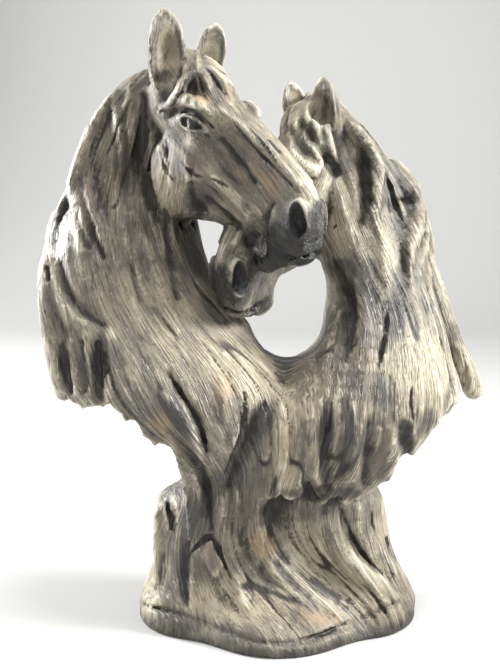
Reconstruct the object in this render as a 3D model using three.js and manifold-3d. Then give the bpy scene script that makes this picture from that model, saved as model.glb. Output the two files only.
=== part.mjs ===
// Bust of two nuzzling horses on a flared stump, cast in one piece in resin with a driftwood finish.
// Millimetres, +Z up. The heads, necks, ragged shoulders and stump are blended as one body of clay
// on a grid of distances, which is then skinned, thinned to a light mesh and cut flat underneath.
import * as THREE from 'three';
import { mergeVertices } from 'three/addons/utils/BufferGeometryUtils.js';
import Module from 'manifold-3d';

// Overall height, from the underside to the tip of the tallest ear.
const HEIGHT = 430;
// The pose and proportions are drawn for a bust 430 units tall, and follow the real height.
const DRAWN_HEIGHT = 430;
const UNIT = HEIGHT / DRAWN_HEIGHT;

// Head of the tall horse, poll to lip, and the share of it that the other head measures.
const HEAD_LENGTH = 152;
const SECOND_HEAD_SHARE = 0.985;

// Spacing of the clay grid, and the triangles kept in the finished skin.
const GRID_PITCH = 3.6;
const TRIANGLES_KEPT = 9400;

// Clay kept under the level of the underside, which the flat cut takes away.
const SPARE_UNDER = 4;
// Depth used where a place in the front view misses the clay.
const HIDDEN_DEPTH = 34;

const vec = (x, y, z) => new THREE.Vector3(x, y, z);

// Corners of the block of clay, and the tops of the two blocks cut from it: the torn edge and the floor.
const CLAY_LOW = vec(-165, -110, -26);
const CLAY_HIGH = vec(185, 110, 440);
const HEM_TOP = 180;
const FLOOR_CUT_TOP = 6;

const degrees = (a) => a * Math.PI / 180;

/** Rounds the valley where two distances meet, over a width of `reach`. */
function melt(a, b, reach) {
  const h = Math.max(reach - Math.abs(a - b), 0) / reach;
  return Math.min(a, b) - h * h * reach / 4;
}

/** Turns rows of [station, value, value, ...] into a function of the station, smooth between the rows. */
function smoothRows(rows) {
  return (t) => {
    if (t <= rows[0][0]) return rows[0].slice(1);
    if (t >= rows.at(-1)[0]) return rows.at(-1).slice(1);
    let i = 0;
    while (rows[i + 1][0] < t) i += 1;
    const [p0, p1] = [rows[Math.max(i - 1, 0)], rows[i]];
    const [p2, p3] = [rows[i + 1], rows[Math.min(i + 2, rows.length - 1)]];
    const span = p2[0] - p1[0];
    const f = (t - p1[0]) / span;
    return p1.slice(1).map((a, k) => {
      const b = p2[k + 1];
      const m1 = p1 === p0 ? b - a : (b - p0[k + 1]) / (p2[0] - p0[0]) * span;
      const m2 = p3 === p2 ? b - a : (p3[k + 1] - a) / (p3[0] - p1[0]) * span;
      const f2 = f * f, f3 = f2 * f;
      return a * (2 * f3 - 3 * f2 + 1) + m1 * (f3 - 2 * f2 + f) + b * (3 * f2 - 2 * f3) + m2 * (f3 - f2);
    });
  };
}

/** A grid of distances to the surface: negative inside the clay. */
class Clay {
  constructor(low, high, pitch) {
    this.low = low;
    this.pitch = pitch;
    this.count = [0, 1, 2].map((k) => Math.ceil((high.getComponent(k) - low.getComponent(k)) / pitch) + 1);
    this.field = new Float32Array(this.count[0] * this.count[1] * this.count[2]).fill(60);
  }

  /** Visits the grid points in a box and sets each to mix(old value, distance to the shape). */
  work(shape, reach, mix) {
    const margin = reach + 2 * this.pitch;
    const range = [0, 1, 2].map((k) => [
      Math.max(0, Math.floor((shape.low.getComponent(k) - margin - this.low.getComponent(k)) / this.pitch)),
      Math.min(this.count[k] - 1, Math.ceil((shape.high.getComponent(k) + margin - this.low.getComponent(k)) / this.pitch)),
    ]);
    const [nx, ny] = this.count;
    for (let k = range[2][0]; k <= range[2][1]; k += 1) {
      const z = this.low.z + k * this.pitch;
      for (let j = range[1][0]; j <= range[1][1]; j += 1) {
        const y = this.low.y + j * this.pitch;
        for (let i = range[0][0]; i <= range[0][1]; i += 1) {
          const n = (k * ny + j) * nx + i;
          this.field[n] = mix(this.field[n], shape.distance(this.low.x + i * this.pitch, y, z));
        }
      }
    }
  }

  add(shape, reach = 6) {
    this.work(shape, reach, (old, d) => melt(old, d, reach));
  }

  cut(shape, reach = 4) {
    this.work(shape, reach, (old, d) => -melt(-old, d, reach));
  }

  /** How far forward the clay reaches at a place in the front view. */
  front(x, z) {
    const [nx, ny] = this.count;
    const i = Math.round((x - this.low.x) / this.pitch), k = Math.round((z - this.low.z) / this.pitch);
    for (let j = 0; j < ny; j += 1) {
      if (this.field[(k * ny + j) * nx + i] < 0) return this.low.y + j * this.pitch;
    }
    return HIDDEN_DEPTH * UNIT;
  }
}

/** Axes for a free form: where it starts, and its long, sideways and upward directions. */
class Pose {
  constructor(origin, along, side, up, size = 1) {
    Object.assign(this, { origin, along, side, up, size });
  }

  point(t, s, u) {
    return this.origin.clone()
      .addScaledVector(this.along, t * this.size)
      .addScaledVector(this.side, s * this.size)
      .addScaledVector(this.up, u * this.size);
  }
}

const UPRIGHT = new Pose(vec(0, 0, 0), vec(0, 0, 1), vec(1, 0, 0), vec(0, 1, 0), UNIT);

/** Box around points, grown by a margin. */
function around(points, margin) {
  const box = new THREE.Box3().setFromPoints(points).expandByScalar(margin);
  return { low: box.min, high: box.max };
}

/** A body along a pose's long axis. Rows: [station, side middle, half width, lowest, highest]. */
function loft(pose, rows, power = 2) {
  const at = smoothRows(rows);
  const first = rows[0][0], last = rows.at(-1)[0];
  const steps = 64;
  const table = Array.from({ length: steps + 1 }, (_, i) => at(first + (last - first) * i / steps));
  const corners = rows.flatMap(([t, m, w, lo, hi]) => [[m - w, lo], [m + w, lo], [m - w, hi], [m + w, hi]]
    .map(([s, u]) => pose.point(t, s, u)));
  const { origin, along, side, up, size } = pose;
  return {
    ...around(corners, 0),
    distance(x, y, z) {
      const px = x - origin.x, py = y - origin.y, pz = z - origin.z;
      const t = (px * along.x + py * along.y + pz * along.z) / size;
      const place = Math.min(Math.max((t - first) / (last - first), 0), 1) * steps;
      const i = Math.min(Math.floor(place), steps - 1), f = place - i;
      const a = table[i], b = table[i + 1];
      const lo = a[2] + (b[2] - a[2]) * f, hi = a[3] + (b[3] - a[3]) * f;
      const w = Math.max(a[1] + (b[1] - a[1]) * f, 1e-3);
      const h = Math.max((hi - lo) / 2, 1e-3);
      const s = Math.abs((px * side.x + py * side.y + pz * side.z) / size - (a[0] + (b[0] - a[0]) * f));
      const u = Math.abs((px * up.x + py * up.y + pz * up.z) / size - (lo + hi) / 2);
      const k0 = ((s / w) ** power + (u / h) ** power) ** (1 / power);
      const k1 = Math.hypot(s / (w * w), u / (h * h)) + 1e-9;
      const cross = k0 * (k0 - 1) / k1;
      const beyond = Math.max(first - t, t - last);
      return Math.max(Number.isFinite(cross) && k0 > 1e-6 ? cross : -Math.min(w, h), beyond) * size;
    },
  };
}

/** An egg at a place in a pose, with its three radii along, sideways and up. */
function egg(pose, [t, s, u], [rt, rs, ru]) {
  const centre = pose.point(t, s, u);
  const { along, side, up, size } = pose;
  const reach = Math.max(rt, rs, ru) * size;
  return {
    ...around([centre], reach),
    distance(x, y, z) {
      const px = x - centre.x, py = y - centre.y, pz = z - centre.z;
      const a = (px * along.x + py * along.y + pz * along.z) / size;
      const b = (px * side.x + py * side.y + pz * side.z) / size;
      const c = (px * up.x + py * up.y + pz * up.z) / size;
      const k0 = Math.hypot(a / rt, b / rs, c / ru);
      const k1 = Math.hypot(a / (rt * rt), b / (rs * rs), c / (ru * ru));
      return k1 > 1e-9 ? k0 * (k0 - 1) / k1 * size : -Math.min(rt, rs, ru) * size;
    },
  };
}

/** A tapering strand through points of a pose. Radii run from root to tip; flat narrows it along a direction. */
function strand(pose, places, radii, flat = null) {
  const nodes = places.map(([t, s, u]) => pose.point(t, s, u));
  const curve = new THREE.CatmullRomCurve3(nodes, false, 'centripetal');
  const pieces = Math.max(4, places.length * 3);
  const spine = curve.getPoints(pieces);
  const thick = spine.map((_, i) => {
    const place = i / pieces * (radii.length - 1);
    const k = Math.min(Math.floor(place), radii.length - 2);
    return (radii[k] + (radii[k + 1] - radii[k]) * (place - k)) * pose.size;
  });
  const widest = Math.max(...thick);
  const squeeze = flat ? flat.share ** -2 - 1 : 0;
  const n = flat ? flat.across : vec(0, 0, 0);
  return {
    ...around(spine, widest),
    distance(x, y, z) {
      let best = 1e9;
      for (let i = 0; i < pieces; i += 1) {
        const a = spine[i], b = spine[i + 1];
        const abx = b.x - a.x, aby = b.y - a.y, abz = b.z - a.z;
        let px = x - a.x, py = y - a.y, pz = z - a.z;
        const f = Math.min(Math.max((px * abx + py * aby + pz * abz) / (abx * abx + aby * aby + abz * abz), 0), 1);
        px -= abx * f;
        py -= aby * f;
        pz -= abz * f;
        const across = px * n.x + py * n.y + pz * n.z;
        const d = Math.sqrt(px * px + py * py + pz * pz + squeeze * across * across);
        best = Math.min(best, d - (thick[i] + (thick[i + 1] - thick[i]) * f));
      }
      return best;
    },
  };
}

/** A pose for a head: heading is +1 or -1 for facing right or left, yaw turns it to the front. */
function headPose(poll, heading, yaw, dip, size) {
  const [c, s] = [Math.cos(degrees(yaw)), Math.sin(degrees(yaw))];
  const [cd, sd] = [Math.cos(degrees(dip)), Math.sin(degrees(dip))];
  return new Pose(
    poll,
    vec(heading * cd * c, -cd * s, -sd),
    vec(-heading * s, -c, 0),
    vec(heading * sd * c, -sd * s, cd),
    size,
  );
}

/** Models a horse's head in shares of its length. The near side of the head is +s. */
function modelHead(clay, pose, { crest, chinLift, forelock }) {
  const both = (work) => [1, -1].forEach(work);
  // Skull and nose, then the jaw under them.
  clay.add(loft(pose, [
    [-0.10, 0, 0.050, -0.20, 0.020],
    [-0.02, 0, 0.095, -0.26, 0.070],
    [0.08, 0, 0.118, -0.27, 0.098],
    [0.18, 0, 0.134, -0.27, 0.108],
    [0.30, 0, 0.128, -0.27, 0.106],
    [0.42, 0, 0.106, -0.25, 0.106],
    [0.56, 0, 0.084, -0.23, 0.108],
    [0.70, 0, 0.072, -0.22, 0.106],
    [0.80, 0, 0.070, -0.23, 0.099],
    [0.88, 0, 0.074, -0.25, 0.078],
    [0.94, 0, 0.072, -0.25, 0.038],
    [0.99, 0, 0.058, -0.235, -0.018],
    [1.03, 0, 0.036, -0.20, -0.065],
    [1.05, 0, 0.012, -0.16, -0.10],
  ], 2.3), 6);
  clay.add(loft(pose, [
    [0.08, 0, 0.040, -0.33, -0.15],
    [0.14, 0, 0.070, -0.38, -0.14],
    [0.20, 0, 0.090, -0.46, -0.12],
    [0.29, 0, 0.098, -0.52, -0.12],
    [0.38, 0, 0.094, -0.515, -0.12],
    [0.48, 0, 0.080, -0.45, -0.12],
    [0.56, 0, 0.065, -0.39, -0.13],
    [0.68, 0, 0.052, -0.335, -0.14],
    [0.75, 0, 0.050, -0.312, -0.15],
    [0.81, 0, 0.052, -0.330, -0.17],
    [0.87, 0, 0.052, -0.352, -0.20],
    [0.92, 0, 0.044, -0.33, -0.22],
    [0.96, 0, 0.030, -0.29, -0.22],
    [0.98, 0, 0.010, -0.26, -0.23],
  ].map(([t, middle, half, low, high]) => [t, middle, half, low + chinLift * THREE.MathUtils.smoothstep(t, 0.6, 0.85), high]),
  2.2), 8);
  clay.add(egg(pose, [0.02, 0, crest], [0.10, 0.075, 0.070]), 8);
  both((m) => {
    // Round cheek, with the hollow before it and the crease under it.
    clay.add(egg(pose, [0.315, m * 0.072, -0.325], [0.190, 0.084, 0.195]), 4);
    clay.cut(egg(pose, [0.505, m * 0.138, -0.325], [0.060, 0.050, 0.065]), 9);
    // Side of the nose, and the crest that runs down from the eye.
    clay.cut(egg(pose, [0.58, m * 0.128, -0.035], [0.210, 0.048, 0.070]), 10);
    clay.add(strand(pose, [[0.31, m * 0.122, -0.140], [0.43, m * 0.112, -0.178], [0.56, m * 0.090, -0.192],
      [0.70, m * 0.074, -0.192]], [0.022, 0.020, 0.015, 0.008]), 7);
    // Hollow of the temple, the brow, and the eye in its hollow.
    clay.cut(egg(pose, [0.108, m * 0.145, -0.105], [0.045, 0.036, 0.050]), 7);
    clay.add(strand(pose, [[0.135, m * 0.108, -0.085], [0.150, m * 0.132, -0.030], [0.190, m * 0.142, 0.008],
      [0.245, m * 0.134, 0.024], [0.300, m * 0.108, 0.018]], [0.014, 0.028, 0.034, 0.028, 0.012]), 4);
    clay.cut(egg(pose, [0.248, m * 0.162, -0.066], [0.080, 0.040, 0.046]), 4);
    clay.add(egg(pose, [0.246, m * 0.118, -0.068], [0.046, 0.034, 0.038]), 2);
    // Nostril, with the swelling round it.
    clay.add(egg(pose, [0.910, m * 0.062, -0.030], [0.078, 0.034, 0.074]), 5);
    clay.cut(egg(pose, [0.915, m * 0.104, -0.030], [0.050, 0.040, 0.044]), 3);
    // Lips, chin and the line of the mouth.
    clay.add(egg(pose, [0.945, m * 0.030, -0.145], [0.082, 0.046, 0.082]), 6);
    clay.cut(strand(pose, [[0.775, m * 0.074, -0.266], [0.885, m * 0.076, -0.248], [0.960, m * 0.060, -0.205],
      [1.030, m * 0.022, -0.120]], [0.018, 0.013, 0.012, 0.010]), 4);
  });
  clay.add(egg(pose, [0.872 + chinLift / 2, 0, -0.318 + chinLift], [0.058, 0.046, 0.050]), 6);
  // The far brow shows past the line of the nose.
  clay.add(egg(pose, [0.320, -0.128, 0.064], [0.060, 0.034, 0.040]), 5);
  forelock.forEach((run) => clay.add(strand(pose, run, [0.018, 0.028, 0.030, 0.026, 0.010]), 4));
}

/** An ear: a leaf-shaped cone from base to tip, hollowed on the side that opening points to. */
function modelEar(clay, base, tip, opening) {
  const along = tip.clone().sub(base);
  const length = along.length();
  along.normalize();
  const face = opening.clone().addScaledVector(along, -opening.dot(along)).normalize();
  const ear = new Pose(base, along, new THREE.Vector3().crossVectors(face, along), face, length);
  clay.add(loft(ear, [
    [-0.20, 0, 0.14, -0.16, 0.16],
    [0.05, 0, 0.22, -0.20, 0.19],
    [0.35, 0, 0.235, -0.19, 0.17],
    [0.65, 0, 0.20, -0.15, 0.11],
    [0.86, 0, 0.13, -0.11, 0.05],
    [0.97, 0, 0.06, -0.07, 0.01],
    [1.00, 0, 0.02, -0.04, -0.01],
  ]), 5);
  clay.cut(egg(ear, [0.47, 0, 0.21], [0.36, 0.125, 0.18]), 3);
}

/** Skins the grid of distances: six tetrahedra to a cell, so the skin always closes. */
function skin(clay) {
  const [nx, ny, nz] = clay.count;
  const { field, pitch, low } = clay;
  const bits = (c) => [c & 1, (c >> 1) & 1, (c >> 2) & 1];
  const jump = Array.from({ length: 8 }, (_, c) => bits(c)[0] + bits(c)[1] * nx + bits(c)[2] * nx * ny);
  // Each tetrahedron goes from corner 0 to corner 7 by three steps, in one of the six orders.
  const tetrahedra = [[1, 3], [1, 5], [2, 3], [2, 6], [4, 5], [4, 6]].map(([a, b]) => [0, a, b, 7]);
  const places = [];
  const triangles = [];
  const known = new Map();
  const crossing = (base, p, q) => {
    const a = Math.min(p, q), b = Math.max(p, q);
    const start = base + jump[a];
    const key = start * 8 + (b - a);
    if (!known.has(key)) {
      known.set(key, places.length / 3);
      const f = THREE.MathUtils.clamp(field[start] / (field[start] - field[base + jump[b]]), 0.08, 0.92);
      const step = bits(b - a);
      const at = [start % nx, Math.floor(start / nx) % ny, Math.floor(start / (nx * ny))];
      at.forEach((n, k) => places.push(low.getComponent(k) + (n + step[k] * f) * pitch));
    }
    return known.get(key);
  };
  const [p, q, r] = [vec(0, 0, 0), vec(0, 0, 0), vec(0, 0, 0)];
  const face = (i, j, k, out) => {
    [[p, i], [q, j], [r, k]].forEach(([v, n]) => v.fromArray(places, n * 3));
    const faces = q.sub(p).cross(r.sub(p)).dot(out) > 0;
    triangles.push(i, faces ? j : k, faces ? k : j);
  };
  for (let k = 0; k < nz - 1; k += 1) {
    for (let j = 0; j < ny - 1; j += 1) {
      for (let i = 0; i < nx - 1; i += 1) {
        const base = (k * ny + j) * nx + i;
        let inside = 0;
        for (let c = 0; c < 8; c += 1) if (field[base + jump[c]] < 0) inside += 1;
        if (inside === 0 || inside === 8) continue;
        for (const corners of tetrahedra) {
          const ins = corners.filter((c) => field[base + jump[c]] < 0);
          const outs = corners.filter((c) => field[base + jump[c]] >= 0);
          if (ins.length === 0 || outs.length === 0) continue;
          const out = vec(0, 0, 0);
          outs.forEach((c) => out.add(vec(...bits(c)).divideScalar(outs.length)));
          ins.forEach((c) => out.sub(vec(...bits(c)).divideScalar(ins.length)));
          const x = (a, b) => crossing(base, a, b);
          if (ins.length === 1) face(x(ins[0], outs[0]), x(ins[0], outs[1]), x(ins[0], outs[2]), out);
          if (ins.length === 3) face(x(ins[0], outs[0]), x(ins[1], outs[0]), x(ins[2], outs[0]), out);
          if (ins.length === 2) {
            const ring = [x(ins[0], outs[0]), x(ins[0], outs[1]), x(ins[1], outs[1]), x(ins[1], outs[0])];
            face(ring[0], ring[1], ring[2], out);
            face(ring[0], ring[2], ring[3], out);
          }
        }
      }
    }
  }
  return { places, triangles };
}

/** Thins a closed mesh by collapsing the edges that change its form least. */
class Thinner {
  constructor({ places, triangles }) {
    this.at = Array.from({ length: places.length / 3 }, (_, i) => vec(0, 0, 0).fromArray(places, i * 3));
    this.faces = Array.from({ length: triangles.length / 3 }, (_, i) => triangles.slice(i * 3, i * 3 + 3));
    this.alive = this.faces.length;
    this.around = this.at.map(() => new Set());
    this.faces.forEach((face, i) => face.forEach((v) => this.around[v].add(i)));
    this.error = this.at.map(() => new Float64Array(10));
    this.stamp = new Int32Array(this.at.length);
    this.faces.forEach((face) => {
      const n = this.normal(face.map((v) => this.at[v]));
      const area = n.length() || 1e-12;
      n.divideScalar(area);
      const e = [n.x, n.y, n.z, -n.dot(this.at[face[0]])];
      face.forEach((v) => {
        let m = 0;
        for (let a = 0; a < 4; a += 1) for (let b = a; b < 4; b += 1) this.error[v][m++] += e[a] * e[b] * area;
      });
    });
    this.heap = [];
    this.faces.forEach(([a, b, c]) => [[a, b], [b, c], [c, a]].forEach(([p, q]) => p < q && this.offer(p, q)));
  }

  normal([a, b, c]) {
    return b.clone().sub(a).cross(c.clone().sub(a));
  }

  cost(p, q, v) {
    const e = this.error[p], g = this.error[q];
    const w = [v.x, v.y, v.z, 1];
    let sum = 0, m = 0;
    for (let a = 0; a < 4; a += 1) {
      for (let b = a; b < 4; b += 1) {
        sum += (e[m] + g[m]) * w[a] * w[b] * (a === b ? 1 : 2);
        m += 1;
      }
    }
    return sum;
  }

  offer(p, q) {
    const a = this.at[p], b = this.at[q];
    const choices = [a.clone().add(b).divideScalar(2), a, b];
    const costs = choices.map((v) => this.cost(p, q, v) + 1e-4 * a.distanceToSquared(b));
    const best = costs.indexOf(Math.min(...costs));
    const item = { cost: costs[best], p, q, to: choices[best], when: this.stamp[p] + this.stamp[q] };
    let i = this.heap.push(item) - 1;
    while (i > 0 && this.heap[(i - 1) >> 1].cost > item.cost) {
      this.heap[i] = this.heap[(i - 1) >> 1];
      i = (i - 1) >> 1;
    }
    this.heap[i] = item;
  }

  cheapest() {
    const top = this.heap[0], last = this.heap.pop();
    if (this.heap.length) {
      let i = 0;
      for (let j = 1; j < this.heap.length; j = 2 * i + 1) {
        if (j + 1 < this.heap.length && this.heap[j + 1].cost < this.heap[j].cost) j += 1;
        if (this.heap[j].cost >= last.cost) break;
        this.heap[i] = this.heap[j];
        i = j;
      }
      this.heap[i] = last;
    }
    return top;
  }

  neighbours(p) {
    const found = new Set();
    this.around[p].forEach((f) => this.faces[f].forEach((v) => found.add(v)));
    found.delete(p);
    return found;
  }

  /** True if an edge can close up with no fold and no pinch. */
  safe({ p, q, to }) {
    const nearQ = this.neighbours(q);
    if ([...this.neighbours(p)].filter((v) => nearQ.has(v)).length !== 2) return false;
    return [[p, q], [q, p]].every(([moved, gone]) => [...this.around[moved]].every((f) => {
      const face = this.faces[f];
      if (face.includes(gone)) return true;
      const before = this.normal(face.map((v) => this.at[v])).normalize();
      const corners = face.map((v) => (v === moved ? to : this.at[v]));
      const after = this.normal(corners);
      const longest = Math.max(...corners.map((c, i) => c.distanceToSquared(corners[(i + 1) % 3])));
      return after.length() > 0.06 * longest && after.normalize().dot(before) > 0.3;
    }));
  }

  thin(target) {
    while (this.alive > target && this.heap.length) {
      const item = this.cheapest();
      const { p, q, to, when } = item;
      if (!this.around[p].size || !this.around[q].size || this.stamp[p] + this.stamp[q] !== when) continue;
      if (!this.safe(item)) continue;
      this.at[p] = to;
      this.error[p] = this.error[p].map((e, i) => e + this.error[q][i]);
      this.around[q].forEach((f) => {
        const face = this.faces[f];
        if (face.includes(p)) {
          face.forEach((v) => this.around[v].delete(f));
          this.faces[f] = null;
          this.alive -= 1;
        } else {
          face[face.indexOf(q)] = p;
          this.around[p].add(f);
        }
      });
      this.around[q] = new Set();
      this.stamp[q] += 1;
      this.stamp[p] += 1;
      this.neighbours(p).forEach((v) => this.offer(Math.min(p, v), Math.max(p, v)));
    }
    const kept = [...new Set(this.faces.filter(Boolean).flat())];
    const renumber = new Map(kept.map((v, i) => [v, i]));
    return {
      places: kept.flatMap((v) => this.at[v].toArray()),
      triangles: this.faces.filter(Boolean).flat().map((v) => renumber.get(v)),
    };
  }
}

/** The height of the torn lower edge of the shoulders, by x, in front and behind. */
const HEM_FRONT = smoothRows([
  [-150, 176], [-136, 174], [-124, 167], [-112, 164], [-93, 167], [-81, 158], [-71, 145], [-54, 141], [-48, 122],
  [-42, 60], [-20, 20], [4, 50], [18, 90], [30, 107], [43, 115], [53, 108], [63, 108], [72, 102], [82, 108], [91, 108],
  [105, 126], [119, 140], [136, 154], [146, 166], [165, 170],
]);
const HEM_BACK = smoothRows([
  [-150, 178], [-130, 160], [-112, 166], [-96, 146], [-78, 150], [-58, 128], [-40, 112], [-20, 98], [2, 108],
  [22, 92], [44, 104], [62, 96], [84, 112], [104, 104], [122, 128], [140, 140], [165, 168],
]);

// Middle of the round foot of the opening between the necks, and how steeply it falls to the back.
const GAP_FOOT = [27, 217];
const GAP_FALL = 9;

/** Everything below the torn edge, as a shape to cut away. */
function belowHem() {
  return {
    low: CLAY_LOW.clone().multiplyScalar(UNIT),
    high: CLAY_HIGH.clone().setZ(HEM_TOP).multiplyScalar(UNIT),
    distance(x, y, z) {
      const behind = THREE.MathUtils.smoothstep(y, -20 * UNIT, 20 * UNIT);
      const [front] = HEM_FRONT(x / UNIT), [back] = HEM_BACK(x / UNIT);
      return z - (front + (back - front) * behind) * UNIT;
    },
  };
}

const sides = (rows) => rows.map(([z, left, right, front, back]) => [z, (left + right) / 2, (right - left) / 2, front, back]);

/** Necks, shoulders and stump. Rows run up the bust: height, left, right, front, back. */
function modelBody(clay) {
  // Neck and mane of the tall horse.
  clay.add(loft(UPRIGHT, sides([
    [40, -30, 0, -24, 30],
    [70, -52, 20, -38, 40],
    [100, -90, 50, -49, 46],
    [130, -128, 60, -50, 52],
    [152, -140, 62, -52, 56],
    [170, -140, 56, -50, 58],
    [185, -141, 36, -46, 60],
    [200, -143, 14, -41, 62],
    [219, -146, -6, -36, 64],
    [243, -145, -24, -28, 66],
    [275, -140, -36, -12, 68],
    [306, -126, -38, 6, 70],
    [330, -118, -32, 16, 70],
    [357, -105, -22, 22, 68],
    [376, -99, -18, 26, 64],
    [386, -89, -26, 30, 58],
    [396, -70, -40, 34, 52],
  ]), 2.3), 10);
  // Neck and mane of the other horse.
  clay.add(loft(UPRIGHT, sides([
    [60, -10, 74, -48, 40],
    [90, -12, 92, -58, 46],
    [120, -12, 118, -62, 50],
    [142, -8, 140, -62, 54],
    [160, -2, 148, -60, 56],
    [175, 8, 148, -56, 58],
    [190, 24, 144, -50, 58],
    [211, 47, 139, -40, 58],
    [240, 55, 131, -26, 60],
    [260, 50, 128, -14, 62],
    [280, 44, 121, -4, 64],
    [303, 42, 111, 4, 64],
    [325, 42, 102, 10, 62],
    [345, 42, 88, 14, 58],
    [356, 46, 78, 20, 52],
    [363, 52, 66, 26, 44],
  ]), 2.3), 11);
  clay.cut(belowHem(), 3);
  // The opening between the necks keeps its round foot along the line of sight.
  const through = new Pose(vec(GAP_FOOT[0], 0, GAP_FOOT[1]).multiplyScalar(UNIT),
    vec(0, Math.cos(degrees(GAP_FALL)), -Math.sin(degrees(GAP_FALL))), vec(1, 0, 0),
    vec(0, Math.sin(degrees(GAP_FALL)), Math.cos(degrees(GAP_FALL))), UNIT);
  clay.cut(egg(through, [0, 0, 0], [220, 26, 27]), 5);
  // Stump: waist, flare and the three lobes of its foot.
  clay.add(loft(UPRIGHT, sides([
    [-8, -70, 106, -58, 64],
    [4, -74, 112, -60, 68],
    [14, -75, 115, -56, 66],
    [28, -73, 112, -51, 60],
    [50, -70, 104, -46, 52],
    [75, -70, 99, -43, 46],
    [90, -65, 95, -42, 44],
    [101, -50, 88, -42, 42],
    [112, -43, 84, -42, 42],
    [135, -44, 80, -46, 42],
    [160, -40, 70, -40, 36],
  ]), 2.4), 14);
  clay.add(egg(UPRIGHT, [4, 20, -44], [22, 42, 34]), 22);
  clay.add(egg(UPRIGHT, [4, -50, 2], [20, 29, 40]), 18);
  clay.add(egg(UPRIGHT, [4, 86, 2], [22, 34, 42]), 18);
  clay.cut({
    low: CLAY_LOW.clone().multiplyScalar(UNIT),
    high: CLAY_HIGH.clone().setZ(FLOOR_CUT_TOP).multiplyScalar(UNIT),
    distance: (x, y, z) => z + SPARE_UNDER * UNIT,
  }, 0.1);
}

/** Locks of mane that stand out from the necks: [x, height] down each lock, and its radii. */
const FRONT_LOCKS = [
  { run: [[67, 356], [77, 344], [83, 330], [85, 313], [84, 295]], radii: [4, 5, 5, 4.5, 2.5] },
  { run: [[83, 337], [94, 327], [104, 316], [112, 298], [112, 285], [108, 268], [107, 247]], radii: [4, 7, 8, 8, 7, 5, 2] },
  { run: [[104, 321], [114, 303], [123, 282], [129, 260], [132, 240]], radii: [4, 6, 7, 6, 3] },
  { run: [[-92, 384], [-96, 362], [-89, 346], [-86, 325]], radii: [4, 6, 6, 3] },
  { run: [[-98, 372], [-104, 358], [-114, 335], [-118, 312], [-110, 291], [-99, 270]], radii: [4, 6, 8, 8, 6, 2] },
  { run: [[-117, 330], [-124, 307], [-120, 291], [-115, 268]], radii: [4, 7, 6, 2] },
  { run: [[-124, 306], [-136, 286], [-141, 256], [-137, 239], [-126, 224], [-98, 204]], radii: [4, 8, 9, 9, 8, 3] },
  { run: [[-140, 234], [-138, 216], [-134, 192], [-130, 170]], radii: [6, 9, 9, 8] },
  { run: [[-118, 210], [-112, 188], [-104, 166]], radii: [5, 10, 10] },
];

/** Broad folds of the driftwood down the necks, chest and stump: [x, height] down each, and its radii. */
const FOLDS = [
  { run: [[-89, 292], [-83, 263], [-71, 238], [-57, 208]], radii: [2, 5, 5, 2] },
  { run: [[-62, 282], [-48, 256], [-31, 229], [-7, 208]], radii: [2, 5, 6, 3] },
  { run: [[70, 262], [69, 236], [65, 211], [57, 189]], radii: [2, 5, 6, 3] },
  { run: [[-34, 205], [-23, 182], [-10, 159], [-7, 132]], radii: [2, 6, 7, 4] },
  { run: [[8, 192], [14, 171], [8, 146], [0, 118]], radii: [2, 5, 6, 4] },
  { run: [[54, 192], [60, 168], [63, 142], [60, 114]], radii: [3, 7, 7, 4] },
  { run: [[-7, 132], [-12, 96], [-15, 69], [-17, 43], [-12, 20]], radii: [4, 6, 6, 6, 4] },
  { run: [[-44, 97], [-49, 68], [-58, 40], [-63, 22]], radii: [4, 6, 6, 4] },
  { run: [[8, 101], [12, 78], [24, 55], [45, 37], [73, 21]], radii: [4, 7, 8, 8, 4] },
  { run: [[34, 93], [47, 71], [70, 52], [99, 29]], radii: [4, 7, 8, 4] },
  { run: [[66, 95], [81, 71], [98, 47], [110, 26]], radii: [4, 6, 6, 4] },
];

/** Creases between the folds, cut into the clay in the same way. */
const CREASES = [
  { run: [[-52, 189], [-41, 170], [-33, 146], [-30, 118]], radii: [2, 5, 6, 3] },
  { run: [[34, 179], [28, 154], [27, 127]], radii: [2, 5, 5] },
  { run: [[90, 178], [86, 156], [81, 128]], radii: [2, 4, 5] },
  { run: [[94, 244], [91, 225], [86, 209]], radii: [2, 4, 2] },
  { run: [[-30, 96], [-32, 66], [-38, 34]], radii: [3, 5, 3] },
  { run: [[22, 92], [30, 64], [58, 42], [86, 24]], radii: [3, 5, 5, 3] },
];

/** A run of places in the front view, laid on the clay as a strand whose middle is sunk in by a share of its radius. */
function laid(clay, { run, radii }, sunk) {
  const places = run.map(([x, z], i) => {
    const y = clay.front(x * UNIT, z * UNIT) / UNIT;
    return [z, x, y + radii[Math.min(i, radii.length - 1)] * sunk];
  });
  return strand(UPRIGHT, places, radii);
}

function modelLocks(clay) {
  FRONT_LOCKS.map((lock) => laid(clay, lock, 0.1)).forEach((lock) => clay.add(lock, 4));
  FOLDS.map((fold) => laid(clay, fold, 0.55)).forEach((fold) => clay.add(fold, 7));
  CREASES.map((crease) => laid(clay, crease, -0.3)).forEach((crease) => clay.cut(crease, 5));
  // The long lock that stands clear of the shoulder.
  clay.add(strand(UPRIGHT, [[262, 126, 20], [240, 132, 18], [223, 138, 16], [199, 147, 14], [180, 156, 12], [166, 161, 10]],
    [5, 7, 7, 6.5, 7, 7.5]), 3);
}

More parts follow.
